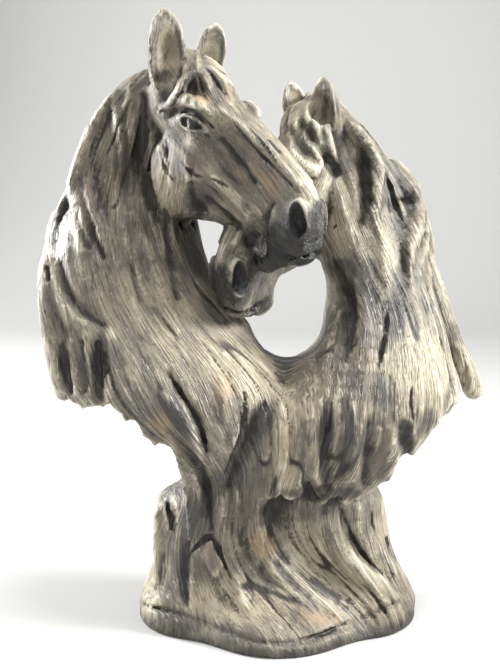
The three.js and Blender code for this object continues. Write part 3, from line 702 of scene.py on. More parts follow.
    def model_mouth(self, clay: Clay, m: int) -> None:
        """Parts the lips, sinks the corner of the mouth and rounds the chin.

        Args:
            clay: The clay to work on.
            m: 1 for the near side, -1 for the far side.
        """
        p = self.pose
        clay.add(Egg(p, (0.945, m * 0.030, -0.145), (0.082, 0.046, 0.082)), 6)
        chin = (0.872 + self.chin_lift / 2, 0, -0.318 + self.chin_lift)
        clay.add(Egg(p, chin, (0.058, 0.046, 0.050)), 6)
        lips = [(0.770, m * 0.074, -0.268), (0.830, m * 0.078, -0.262), (0.885, m * 0.076, -0.248),
                (0.940, m * 0.068, -0.218),
                (0.990, m * 0.050, -0.176), (1.035, m * 0.022, -0.120), (1.050, -m * 0.004, -0.100)]
        # The parting of the lips and the corner of the mouth are kept to be painted near-black: painted
        # shade.
        clay.cut(self.keep("dark", Strand(p, lips, [0.016, 0.014, 0.013, 0.011])), 2.0)
        clay.cut(self.keep("dark", Egg(p, (0.772, m * 0.080, -0.266), (0.026, 0.024, 0.022))), 4)


@dataclass(frozen=True)
class Sight:
    """The line of sight through each place of the picture, in the drawn frame."""

    eye: Triple = (0, -805.2, 364.1)
    fall: float = 10.9
    focal: float = 1163.0
    middle: Spot = (250.0, 333.5)

    # Nearest and farthest distance from the eye at which clay is looked for, and the step.
    SEARCHED = (690, 900, 0.7)

    def axes(self) -> tuple[np.ndarray, np.ndarray, np.ndarray]:
        """Returns the right, up and forward axes of the picture."""
        c, s = math.cos(math.radians(self.fall)), math.sin(math.radians(self.fall))
        return np.array([1.0, 0, 0]), np.array([0, s, c]), np.array([0, c, -s])

    def meet(self, clay: "Clay", spots: list[Spot]) -> np.ndarray:
        """Finds where the lines of sight meet the clay.

        Args:
            clay: The clay.
            spots: Places in the picture, in pixels.

        Returns:
            A place on the clay for each spot, or on the plane through its middle where the line misses it.
        """
        right, up, ahead = self.axes()
        px, py = np.array(spots, float).T
        across = np.outer((px - self.middle[0]) / self.focal, right)
        ray = ahead + across + np.outer((self.middle[1] - py) / self.focal, up)
        depth = np.arange(*self.SEARCHED)
        line = np.array(self.eye) + ray[:, None, :] * depth[None, :, None]
        cell = np.clip(np.round((line - clay.low) / clay.pitch).astype(int), 0, clay.count - 1)
        inside = clay.field[cell[..., 0], cell[..., 1], cell[..., 2]] < 0
        first = np.where(inside.any(1), inside.argmax(1), len(depth) // 2)
        return line[np.arange(len(spots)), first]

    def picture(self, places: np.ndarray) -> np.ndarray:
        """Returns where places of the drawn frame lie in the picture, in pixels.

        Args:
            places: Places in drawn millimetres.

        Returns:
            Places across and down.
        """
        right, up, ahead = self.axes()
        away = places - np.array(self.eye)
        depth = away @ ahead
        across = self.middle[0] + self.focal * (away @ right) / depth
        return np.stack([across, self.middle[1] - self.focal * (away @ up) / depth], 1)


class Cut(Enum):
    """Ways to work a run into the clay: sunk share, melted width, whether it adds clay, raggedness."""

    LOCK = (0.10, 3.5, True, 0.15)
    RIDGE = (0.55, 5.0, True, 0.15)
    CREASE = (-0.20, 4.0, False, 0.45)
    FLUTE = (-0.62, 10.0, False, 0.15)
    CRACK = (0.45, 0.8, False, 1.0)


@dataclass(frozen=True)
class Run:
    """A carved run down the casting, through places of the picture, with its radii from end to end."""

    way: Cut
    spots: list[Spot]
    radii: list[float]

    # How far a fully ragged run strays, in pixels, and how much its radius varies.
    STRAYS = 1.3
    VARIES = 0.4

    def carve(self, clay: "Clay", sight: Sight) -> Strand:
        """Works the run into the clay.

        Args:
            clay: The clay.
            sight: Lines of sight through the picture.

        Returns:
            The strand that was added or cut.
        """
        sunk, reach, adds, ragged = self.way.value
        step = np.arange(len(self.spots))
        fine_step = np.linspace(0, len(self.spots) - 1, 3 * len(self.spots) - 2)
        spots = np.array(self.spots, float)
        fine = smooth_line(np.stack([np.interp(fine_step, step, spots[:, k]) for k in range(2)], 1))
        uneven = np.random.default_rng(int(spots.sum())).uniform(-1, 1, (len(fine), 3)) * ragged
        fine += uneven[:, :2] * self.STRAYS
        at = np.interp(np.linspace(0, 1, len(fine)), np.linspace(0, 1, len(self.radii)), self.radii)
        at *= 1 + self.VARIES * uneven[:, 2]
        ahead = sight.axes()[2]
        places = smooth_line(sight.meet(clay, fine.tolist())) + ahead * (at * sunk)[:, None]
        strand = Strand(UPRIGHT, [(z, x, y) for x, y, z in places], at.tolist(), pieces=1)
        (clay.add if adds else clay.cut)(strand, reach)
        return strand


def smooth_line(places: np.ndarray, rounds: int = 2) -> np.ndarray:
    """Rounds the corners of a line of places, with its ends held.

    Args:
        places: The line.
        rounds: Number of smoothing rounds.

    Returns:
        The rounded line.
    """
    line = places.astype(float).copy()
    for _ in range(rounds):
        line[1:-1] = 0.5 * line[1:-1] + 0.25 * (line[:-2] + line[2:])
    return line


@dataclass
class Bust:
    """Necks, torn shoulders, stump and manes. Rows run up the bust: height, left, right, front, back."""

    tall_neck: list[Row]
    other_neck: list[Row]
    stump: list[Row]
    hem_front: list[Row]
    hem_back: list[Row]
    locks: list[Line]
    runs: list[Run]
    sight: Sight
    cracks: list[Strand] = field(default_factory=list)
    creases: list[Strand] = field(default_factory=list)

    @staticmethod
    def sides(rows: list[Row]) -> list[Row]:
        """Turns left and right limits into a middle and a half width."""
        return [(z, (left + right) / 2, (right - left) / 2, front, back)
                for z, left, right, front, back in rows]

    def model(self, clay: Clay) -> None:
        """Adds the necks, tears the hem and melts on the stump and the hair.

        Args:
            clay: The clay to work on.
        """
        clay.add(Loft(UPRIGHT, self.sides(self.tall_neck), 2.3), 10)
        clay.add(Loft(UPRIGHT, self.sides(self.other_neck), 2.3), 11)
        clay.cut(Torn(self.hem_front, self.hem_back), 2)
        fall = math.radians(9)
        c, s = math.cos(fall), math.sin(fall)
        opening = Pose((27, 0, 217), (0, c, -s), (1, 0, 0), (0, s, c))
        clay.cut(Egg(opening, (0, 0, 0), (220, 26, 27)), 5)
        clay.add(Loft(UPRIGHT, self.sides(self.stump), 2.4), 14)
        for place, radii in (((4, 20, -44), (22, 42, 34)), ((4, -50, 2), (20, 29, 40)),
                             ((4, 86, 2), (22, 34, 42))):
            clay.add(Egg(UPRIGHT, place, radii), 20)
        self.lay_locks(clay, 0.1, 3)
        spine = [(262, 126, 20), (240, 132, 18), (223, 138, 16), (199, 147, 14), (180, 156, 12),
                 (166, 161, 10)]
        clay.add(Strand(UPRIGHT, spine, [5, 7, 7, 6.5, 7, 7.5]), 3)

    def carve(self, clay: Clay) -> None:
        """Works in the runs: first the broad flutes, then ridges and locks, creases and cracks.

        Args:
            clay: The clay to work on.
        """
        kept = {Cut.CRACK: self.cracks, Cut.CREASE: self.creases}
        for way in (Cut.FLUTE, Cut.RIDGE, Cut.LOCK, Cut.CREASE, Cut.CRACK):
            for run in self.runs:
                if run.way is way:
                    kept.get(way, []).append(run.carve(clay, self.sight))

    def lay_locks(self, clay: Clay, sunk: float, reach: float) -> None:
        """Melts the hanging locks on, where they lie in the front view.

        Args:
            clay: The clay that they lie on.
            sunk: How deep the middle of a lock lies, as a share of its radius.
            reach: Width of the melted edge.
        """
        strands = []
        for run, radii in self.locks:
            at = np.interp(np.linspace(0, 1, len(run)), np.linspace(0, 1, len(radii)), radii)
            places = [(z, x, clay.front(x, z) + r * sunk) for (x, z), r in zip(run, at)]
            strands.append(Strand(UPRIGHT, places, radii))
        for strand in strands:
            clay.add(strand, reach)


class Torn(Shape):
    """Everything below the torn edge of the shoulders."""

    # Height of the frays, and their size across and deep.
    FRAY = 3.2
    ACROSS = 5.0
    DEEP = 9.0

    def __init__(self, front: list[Row], back: list[Row]) -> None:
        """Keeps the height of the edge by x, in front and behind.

        Args:
            front: Places and heights of the edge in front.
            back: The same behind.
        """
        self.front, self.back = np.array(front, float).T, np.array(back, float).T
        self.low, self.high = np.array([-165, -110, -26]), np.array([185, 110, 180])
        self.frays = Noise(7)

    def distance(self, x: np.ndarray, y: np.ndarray, z: np.ndarray) -> np.ndarray:
        """Returns the height above the torn edge.

        Args:
            x: Places to the right, in drawn millimetres.
            y: Places to the back.
            z: Heights.

        Returns:
            The distances, negative inside.
        """
        behind = smooth_step(y, -20, 20)
        edge = np.interp(x, *self.front) * (1 - behind) + np.interp(x, *self.back) * behind
        spots = np.stack(np.broadcast_arrays(x / self.ACROSS, y / self.DEEP, x * 0), -1).reshape(-1, 3)
        frayed = self.FRAY * self.frays.at(spots).reshape(edge.shape)
        return (z - edge - frayed).astype(np.float32)


@dataclass
class WoodRun:
    """Coordinates that follow the run of the wood: across, deep and along, in millimetres."""

    left: list[Spot]
    inner_left: list[Spot]
    inner_right: list[Spot]
    right: list[Spot]
    width: float = 230.0
    across_per_depth: float = 0.45
    deep_per_depth: float = 0.2

    # Heights around a place over which the limits are averaged.
    STEPS = (-16, -8, 0, 8, 16)

    def at(self, places: np.ndarray) -> np.ndarray:
        """Returns the coordinates at places in the drawn frame.

        Args:
            places: Places in drawn millimetres.

        Returns:
            Coordinates across, deep and along.
        """
        x, y, z = places.T
        left, inner_left, inner_right, right = (
            np.mean([np.interp(z + step, *np.array(sorted(rows), float).T) for step in self.STEPS], axis=0)
            for rows in (self.left, self.inner_left, self.inner_right, self.right))
        share = np.where(x < inner_left, 0.5 * (x - left) / np.maximum(inner_left - left, 1), 0.5)
        beyond = 0.5 + 0.5 * (x - inner_right) / np.maximum(right - inner_right, 1)
        share = np.where(x > inner_right, beyond, share)
        across = share * self.width + self.across_per_depth * y
        return np.stack([across, self.deep_per_depth * y, z], 1).astype(np.float32)


class Tint(Enum):
    """Washes of paint laid over the driftwood grey. The shadow wash is painted shade; the cream wash is
    partly real paint and partly painted light.
    """

    SLATE = "slate_wash"
    RUST = "rust_wash"
    CREAM_AND_LIGHT = "cream_wash"
    MAUVE = "mauve_wash"
    SHADOW = "shadow_wash"


@dataclass(frozen=True)
class Patch:
    """A soft patch of one tint, seen in the picture: its middle, half sizes in pixels and lean in degrees."""

    tint: Tint
    across: float
    down: float
    wide: float
    tall: float
    lean: float = 0.0
    strength: float = 1.0

    def weight(self, seen: np.ndarray) -> np.ndarray:
        """Returns how much of the tint lies at each place of the picture.

        Args:
            seen: Places in the picture, in pixels.

        Returns:
            The weight at each place.
        """
        c, s = math.cos(math.radians(self.lean)), math.sin(math.radians(self.lean))
        a, d = seen[:, 0] - self.across, seen[:, 1] - self.down
        reach = np.sqrt(((a * c + d * s) / self.wide) ** 2 + ((d * c - a * s) / self.tall) ** 2)
        return self.strength * (1 - smooth_step(reach, 0.35, 1.3))


@dataclass
class Skin:
    """The skinned bust: its vertices and its four-sided faces."""

    places: np.ndarray
    faces: np.ndarray

    def normals(self) -> np.ndarray:
        """Returns the vertex normals.

        Returns:
            A unit vector for each vertex.
        """
        a, b, c, d = (self.places[self.faces[:, k]] for k in range(4))
        flat = np.cross(c - a, d - b)
        total = np.zeros_like(self.places)
        for k in range(4):
            for axis in range(3):
                total[:, axis] += np.bincount(self.faces[:, k], flat[:, axis], len(self.places))
        return total / (np.linalg.norm(total, axis=1, keepdims=True) + 1e-9)


def near(shapes: list[Shape], places: np.ndarray, inner: float, outer: float) -> np.ndarray:
    """Returns 1 at a surface within inner of any shape, falling to 0 at outer.

    Args:
        shapes: The shapes.
        places: Places in drawn millimetres.
        inner: Distance at which it starts to fall.
        outer: Distance at which it reaches 0.

    Returns:
        The weight at each place.
    """
    weight = np.zeros(len(places), np.float32)
    for shape in shapes:
        close = np.all((places > shape.low - outer) & (places < shape.high + outer), axis=1)
        if close.any():
            d = shape.distance(*places[close].T)
            weight[close] = np.maximum(weight[close], 1 - smooth_step(d, inner, outer))
    return weight


@dataclass
class Casting:
    """The whole casting: clay, skin, scoring and the masks that its paint follows."""

    bust: Bust
    heads: list[HorseHead]
    run: WoodRun
    patches: list[Patch]
    low: Triple = (-165, -110, -8)
    high: Triple = (185, 90, 440)
    broad: Noise = field(default_factory=lambda: Noise(3))
    split: Noise = field(default_factory=lambda: Noise(5))

    def sculpt(self) -> Skin:
        """Models the clay and skins it.

        Returns:
            The skin, in drawn millimetres.
        """
        clay = Clay(self.low, self.high, PITCH)
        self.bust.model(clay)
        LOG.info("body modelled")
        for head in self.heads:
            head.model(clay)
        self.bust.carve(clay)
        floor = clay.axes[2][None, None, :]
        clay.field = np.maximum(clay.field, -floor)
        LOG.info("heads modelled")
        places, faces = clay.skin()
        return Skin(places, faces)

    def face_run(self, places: np.ndarray) -> tuple[np.ndarray, np.ndarray]:
        """Returns coordinates along the nearer head, and how much each place belongs to a head.

        Args:
            places: Places in drawn millimetres.

        Returns:
            The coordinates, and the share of the heads.
        """
        run, weight = np.zeros_like(places), np.zeros(len(places), np.float32)
        for head in self.heads:
            part = near(head.form(), places, 2.0, 9.0)
            t, s, u = head.pose.local(*places.T)
            own = np.stack([s, u + 0.12 * t, t], 1) * head.pose.size
            run = np.where((part > weight)[:, None], own, run)
            weight = np.maximum(weight, part)
        return run.astype(np.float32), weight

    def cracks(self, run: np.ndarray) -> np.ndarray:
        """Returns the long drying cracks of the wood, from 0 to 1.

        Args:
            run: Coordinates along the run of the wood.

        Returns:
            The strength of the crack at each place.
        """
        line = self.split.at(run / (11, 11, 85) + 3)
        broken = self.broad.at(run / (26, 26, 60) + 9)
        long = np.exp(-(line / 0.075) ** 2) * smooth_step(broken, -0.1, 0.35)
        fine_line = self.broad.at(run / (5, 5, 46) + 17)
        fine_broken = self.split.at(run / (18, 18, 38) + 23)
        fine = np.exp(-(fine_line / 0.10) ** 2) * smooth_step(fine_broken, -0.05, 0.3)
        return np.maximum(long, 0.55 * fine)

    def relief(self, places: np.ndarray) -> np.ndarray:
        """Returns how far each place of the skin stands out, in millimetres.

        Args:
            places: Places in drawn millimetres.

        Returns:
            The heights.
        """
        run = self.run.at(places)
        face, on_face = self.face_run(places)
        wood = (0.9 * self.broad.at(run / (9, 9, 80)) + 0.55 * self.split.at(run / (4, 4, 44) + 5)
                - 1.1 * self.cracks(run))
        skin = 0.35 * self.broad.at(face / (6, 6, 26)) + 0.25 * self.split.at(face / (3, 3, 14) + 5)
        ears = near([e.leaf() for h in self.heads for e in h.ears], places, 0.5, 4)
        level = smooth_step(places[:, 2], 0.5, 6) * (1 - 0.8 * ears)
        return level * (wood * (1 - on_face) + skin * on_face)

    def masks(self, places: np.ndarray) -> dict[str, np.ndarray]:
        """Returns the values that the paint follows, by attribute name.

        Args:
            places: Places in drawn millimetres.

        Returns:
            The values by attribute name.
        """
        run = self.run.at(places)
        face, on_face = self.face_run(places)
        found = {"wood_run": run, "face_run": face, "on_face": on_face,
                 "crack": self.cracks(run) * (1 - on_face)}
        # The kept lines and holes of the heads are darkened later, partly as painted shade; the eyes keep
        # their own dark.
        for name, inner, outer in (("line", 0.0, 1.3), ("dark", -0.5, 2.4), ("eye", 0.2, 1.0)):
            found[name] = near([s for h in self.heads for s in h.paint.get(name, [])], places, inner, outer)
        found["line"] = np.maximum(found["line"], near(self.bust.cracks, places, 0.0, 1.3))
        found["crease"] = near(self.bust.creases, places, 0.0, 3.0)
        muzzle = np.zeros(len(places), np.float32)
        for head in self.heads:
            t, _, u = head.pose.local(*places.T)
            laid = near(head.form(), places, 2, 7) * smooth_step(t - 0.35 * u, 0.74, 0.95)
            muzzle = np.maximum(muzzle, laid * (1.0 if head.awake else 0.72))
        found["muzzle"] = muzzle
        found["ear"] = near([e.hollow() for h in self.heads for e in h.ears], places, 0.0, 1.5)
        seen, shown = self.bust.sight.picture(places), 1 - smooth_step(places[:, 1], 0, 45)
        for tint in Tint:
            laid = sum(patch.weight(seen) for patch in self.patches if patch.tint is tint)
            found[tint.value] = shown * np.clip(laid, 0, 1)
        return found


def put_attribute(mesh: bpy.types.Mesh, name: str, value: np.ndarray) -> None:
    """Stores a value or a vector on each vertex of a mesh.

    Args:
        mesh: The mesh.
        name: The name.
        value: The value of each vertex.
    """
    kind, key = ("FLOAT_VECTOR", "vector") if value.ndim == 2 else ("FLOAT", "value")
    attribute = mesh.attributes.get(name) or mesh.attributes.new(name, kind, "POINT")
    attribute.data.foreach_set(key, np.ascontiguousarray(value, np.float32).ravel())


def read_places(mesh: bpy.types.Mesh) -> np.ndarray:
    """Returns the vertices of a mesh.

    Args:
        mesh: The mesh.

    Returns:
        The places, one row for each.
    """
    flat = np.empty(len(mesh.vertices) * 3, np.float32)
    mesh.vertices.foreach_get("co", flat)
    return flat.reshape(-1, 3)


def swell(mesh: bpy.types.Mesh, rounds: tuple[int, ...]) -> list[np.ndarray]:
    """Measures how far each vertex stands out from its smoothed surroundings.

    Args:
        mesh: The mesh.
        rounds: Numbers of smoothing rounds, rising.

    Returns:
        The distance along the normal for each number of rounds, in metres.
    """
    places = read_places(mesh)
    edges = np.empty(len(mesh.edges) * 2, np.int32)
    mesh.edges.foreach_get("vertices", edges)
    a, b = edges.reshape(-1, 2).T
    normal = np.empty(len(places) * 3, np.float32)
    mesh.vertex_normals.foreach_get("vector", normal)
    normal = normal.reshape(-1, 3)
    degree = np.bincount(np.r_[a, b], minlength=len(places)).astype(np.float32)[:, None]
    smooth, found = places.copy(), []
    for turn in range(1, rounds[-1] + 1):
        total = np.stack([np.bincount(a, smooth[b, k], len(places))
                          + np.bincount(b, smooth[a, k], len(places))
                          for k in range(3)], 1)
        smooth = 0.4 * smooth + 0.6 * total / np.maximum(degree, 1)
        if turn in rounds:
            found.append(np.sum((places - smooth) * normal, axis=1))
    return found


def baked(piece: bpy.types.Object, name: str) -> bpy.types.Object:
    """Returns a plain copy of a piece with its modifiers applied, and removes the piece.

    Args:
        piece: The piece.
        name: The name.

    Returns:
        The copy.
    """
    bpy.context.view_layer.update()
    graph = bpy.context.evaluated_depsgraph_get()
    mesh = bpy.data.meshes.new_from_object(piece.evaluated_get(graph))
    bpy.data.objects.remove(piece)
    made = bpy.data.objects.new(name, mesh)
    bpy.context.scene.collection.objects.link(made)
    return made


@dataclass
class Nodes:
    """Adds and links nodes in one tree."""

    tree: bpy.types.NodeTree

    def feed(self, target: Socket, value: object) -> None:
        """Links a socket to an input, or sets the input to a plain value.

        Args:
            target: The input.
            value: A socket or a plain value.
        """
        if isinstance(value, bpy.types.NodeSocket):
            self.tree.links.new(value, target)
        else:
            target.default_value = value

    def add(self, kind: str, values: dict | None = None, **options: object) -> bpy.types.Node:
        """Adds a node.

        Args:
            kind: The node's type.
            values: Plain values or sockets for its inputs, by name or number.
            options: The node's own settings.

        Returns:
            The node.
        """
        node = self.tree.nodes.new(kind)
        for name, value in options.items():
            setattr(node, name, value)
        for key, value in (values or {}).items():
            self.feed(node.inputs[key], value)
        return node

    def placed(self, group: bpy.types.NodeTree, values: dict) -> Socket:
        """Places a group in the tree and returns its first output."""
        return self.add("ShaderNodeGroup", values, node_tree=group).outputs[0]

    def math(self, operation: str, a: object, b: object = 0.0, clamp: bool = False) -> Socket:
        """Returns the result of a math node, shader or geometry."""
        node = self.add("ShaderNodeMath", {0: a, 1: b}, operation=operation, use_clamp=clamp)
        return node.outputs[0]

    def total(self, *values: object) -> Socket:
        """Returns the sum of some values, added in order."""
        return reduce(lambda a, b: self.math("ADD", a, b), values)

    def product(self, *values: object) -> Socket:
        """Returns the product of some values, taken in order."""
        return reduce(lambda a, b: self.math("MULTIPLY", a, b), values)

    def swing(self, value: Socket, share: object) -> Socket:
        """Returns how far a value lies above one half, times a share."""
        return self.product(self.math("SUBTRACT", value, 0.5), share)

    def ramp(self, value: object, low: float, high: float) -> Socket:
        """Returns 0 at low, 1 at high and a smooth curve between."""
        values = {0: value, 1: low, 2: high, 3: 0.0, 4: 1.0}
        return self.add("ShaderNodeMapRange", values, interpolation_type="SMOOTHSTEP").outputs[0]

    def mix(self, factor: object, a: object, b: object) -> Socket:
        """Returns a blend of two colours."""
        return self.add("ShaderNodeMix", {0: factor, 6: a, 7: b}, data_type="RGBA").outputs[2]

    def laid(self, colour: object, paint: object, where: Socket, low: float, high: float,
             strength: float) -> Socket:
        """Lays a paint over a colour where a value is strong.

        Args:
            colour: The colour below.
            paint: The colour laid over it.
            where: The value that the paint follows.
            low: Value at which the paint starts.
            high: Value at which it covers fully.
            strength: Share of the colour below that the full paint hides.

        Returns:
            The new colour.
        """
        return self.mix(self.product(self.ramp(where, low, high), strength), colour, paint)

    def attribute(self, name: str, vector: bool = False) -> Socket:
        """Returns an attribute of the mesh."""
        node = self.add("ShaderNodeAttribute", attribute_name=name)
        return node.outputs["Vector" if vector else "Fac"]

    def streaks(self, run: Socket, sizes: bpy.types.NodeOutputs, detail: object, roughness: float) -> Socket:
        """Returns noise drawn out along a run, a value around one half.

        Args:
            run: Coordinates across, deep and along the run.
            sizes: Sockets named Width, Length and Seed.
            detail: Detail of the noise.
            roughness: Roughness of the noise.

        Returns:
            The noise.
        """
        parts = self.add("ShaderNodeSeparateXYZ", {0: run}).outputs
        lengths = (sizes["Width"], sizes["Width"], sizes["Length"])
        shares = [self.math("DIVIDE", part, length) for part, length in zip(parts, lengths)]
        place = self.add("ShaderNodeCombineXYZ", dict(enumerate(shares))).outputs[0]
        values = {"Vector": place, "W": sizes["Seed"], "Scale": 1.0, "Detail": detail, "Roughness": roughness}
        return self.add("ShaderNodeTexNoise", values, noise_dimensions="4D").outputs[0]


def new_group(name: str, inputs: dict[str, tuple[str, object]], outputs: dict[str, str], kind: str) -> tuple:
    """Starts a node group with named sockets.

    Args:
        name: The group's name.
        inputs: Socket types and defaults by name.
        outputs: Socket types by name.
        kind: The tree's type.

    Returns:
        The group, its builder, its input node and its output node.
    """
    group = bpy.data.node_groups.new(name, kind)
    for label, (socket, default) in inputs.items():
        made = group.interface.new_socket(label, in_out="INPUT", socket_type=socket)
        if default is not None:
            made.default_value = default
    for label, socket in outputs.items():
        group.interface.new_socket(label, in_out="OUTPUT", socket_type=socket)
    nodes = Nodes(group)
    return group, nodes, nodes.add("NodeGroupInput"), nodes.add("NodeGroupOutput")


def floats(defaults: dict[str, float]) -> dict[str, tuple[str, float]]:
    """Returns socket types for plain numbers with their defaults."""
    return {name: ("NodeSocketFloat", value) for name, value in defaults.items()}


class ScoringTree:
    """Scores fine lines along the run of the wood into a mesh, with Geometry Nodes."""

    NAME = "wood_scoring"
    SIZES = {"Depth": 0.0005, "Width": 2.4, "Length": 30.0, "Face Depth": 0.00018, "Seed": 11.0}
    GROOVE = 0.11
    UNSCORED, FULLY_SCORED = 0.0005, 0.004

    @staticmethod
    def named(nodes: Nodes, name: str, kind: str) -> Socket:
        """Returns a named attribute of the mesh."""
        node = nodes.add("GeometryNodeInputNamedAttribute", {"Name": name}, data_type=kind)
        return node.outputs["Attribute"]

    def grooves(self, nodes: Nodes, run: str, sizes: bpy.types.NodeOutputs, depth: str) -> Socket:
        """Returns the fall of the surface into the scored lines.

        Args:
            nodes: The builder of the tree.
            run: Name of the attribute that the lines follow.
            sizes: The tree's own inputs.
            depth: Name of the input for the depth.

        Returns:
            The height, 0 or less.
        """
        noise = nodes.streaks(self.named(nodes, run, "FLOAT_VECTOR"), sizes, 2.0, 0.6)
        line = nodes.math("ABSOLUTE", nodes.math("SUBTRACT", noise, 0.5))
        groove = nodes.ramp(line, 0.0, self.GROOVE)
        return nodes.product(nodes.math("SUBTRACT", groove, 1.0), sizes[depth])

    def build(self) -> bpy.types.NodeTree:
        """Builds the tree.

        Returns:
            The tree, with its sizes and its finish as inputs.
        """
        inputs = {"Geometry": ("NodeSocketGeometry", None), **floats(self.SIZES),
                  "Finish": ("NodeSocketMaterial", None)}
        group, nodes, start, end = new_group(self.NAME, inputs, {"Geometry": "NodeSocketGeometry"},
                                             "GeometryNodeTree")
        on_wood = self.grooves(nodes, "wood_run", start.outputs, "Depth")
        on_head = self.grooves(nodes, "face_run", start.outputs, "Face Depth")
        on_face = self.named(nodes, "on_face", "FLOAT")
        off_face = nodes.math("SUBTRACT", 1.0, on_face)
        height = nodes.total(nodes.product(on_wood, off_face), nodes.product(on_head, on_face))
        place = nodes.add("GeometryNodeInputPosition").outputs[0]
        above = nodes.add("ShaderNodeSeparateXYZ", {0: place}).outputs[2]
        height = nodes.product(height, nodes.ramp(above, self.UNSCORED, self.FULLY_SCORED))
        normal = nodes.add("GeometryNodeInputNormal").outputs[0]
        offset = nodes.add("ShaderNodeVectorMath", {0: normal, "Scale": height}, operation="SCALE").outputs[0]
        moved = nodes.add("GeometryNodeSetPosition",
                          {"Geometry": start.outputs[0], "Offset": offset}).outputs[0]
        real = nodes.add("GeometryNodeRealizeInstances", {0: moved}).outputs[0]
        finish = {"Geometry": real, "Material": start.outputs["Finish"]}
        group.links.new(nodes.add("GeometryNodeSetMaterial", finish).outputs[0], end.inputs[0])
        return group

    def score(self, piece: bpy.types.Object, finish: bpy.types.Material) -> None:
        """Puts the tree on a piece as a modifier, with its sizes.

        Args:
            piece: The piece to score.
            finish: The material that the piece takes.
        """
        tree = self.build()
        modifier = piece.modifiers.new(self.NAME, "NODES")
        modifier.node_group = tree
        sockets = {item.name: item.identifier for item in tree.interface.items_tree if item.in_out == "INPUT"}
        for name, value in self.SIZES.items():
            modifier[sockets[name]] = value
        modifier[sockets["Finish"]] = finish


def wood_streaks() -> bpy.types.NodeTree:
    """Builds the shader group for streaks that follow a run: a value around one half.

    Returns:
        The group.
    """
    inputs = {"Run": ("NodeSocketVector", None),
              **floats({"Width": 2.0, "Length": 20.0, "Seed": 0.0, "Detail": 3.0})}
    group, nodes, start, end = new_group("wood_streaks", inputs, {"Value": "NodeSocketFloat"},
                                         "ShaderNodeTree")
    value = nodes.streaks(start.outputs["Run"], start.outputs, start.outputs["Detail"], 0.55)
    group.links.new(value, end.inputs[0])
    return group


def paint_patch() -> bpy.types.NodeTree:
    """Builds the shader group that lays a tint where a mask is strong, broken up by streaks.

    Returns:
        The group.
    """
    inputs = {name: ("NodeSocketColor", (0.5, 0.5, 0.5, 1)) for name in ("Color", "Tint")}
    inputs.update(floats({"Mask": 0.0, "Streak": 0.5, "Break": 0.5, "Strength": 1.0}))
    group, nodes, start, end = new_group("paint_patch", inputs, {"Color": "NodeSocketColor"},
                                         "ShaderNodeTree")
    given = start.outputs
    broken = nodes.product(nodes.swing(given["Streak"], given["Break"]), 4.0)
    amount = nodes.ramp(nodes.total(given["Mask"], broken), 0.15, 0.85)
    inside = nodes.product(amount, nodes.ramp(given["Mask"], 0.0, 0.12))
    cover = nodes.math("MULTIPLY", inside, given["Strength"], clamp=True)
    group.links.new(nodes.mix(cover, given["Color"], given["Tint"]), end.inputs[0])
    return group


@dataclass(frozen=True)
class Grain:
    """The values that the paint follows, as sockets of one material."""

    broad: Socket
    medium: Socket
    fine: Socket
    nick: Socket
    blotch: Socket
    height: Socket
    raised: Socket
    cream_and_light: Socket
    muzzle: Socket
    ear: Socket


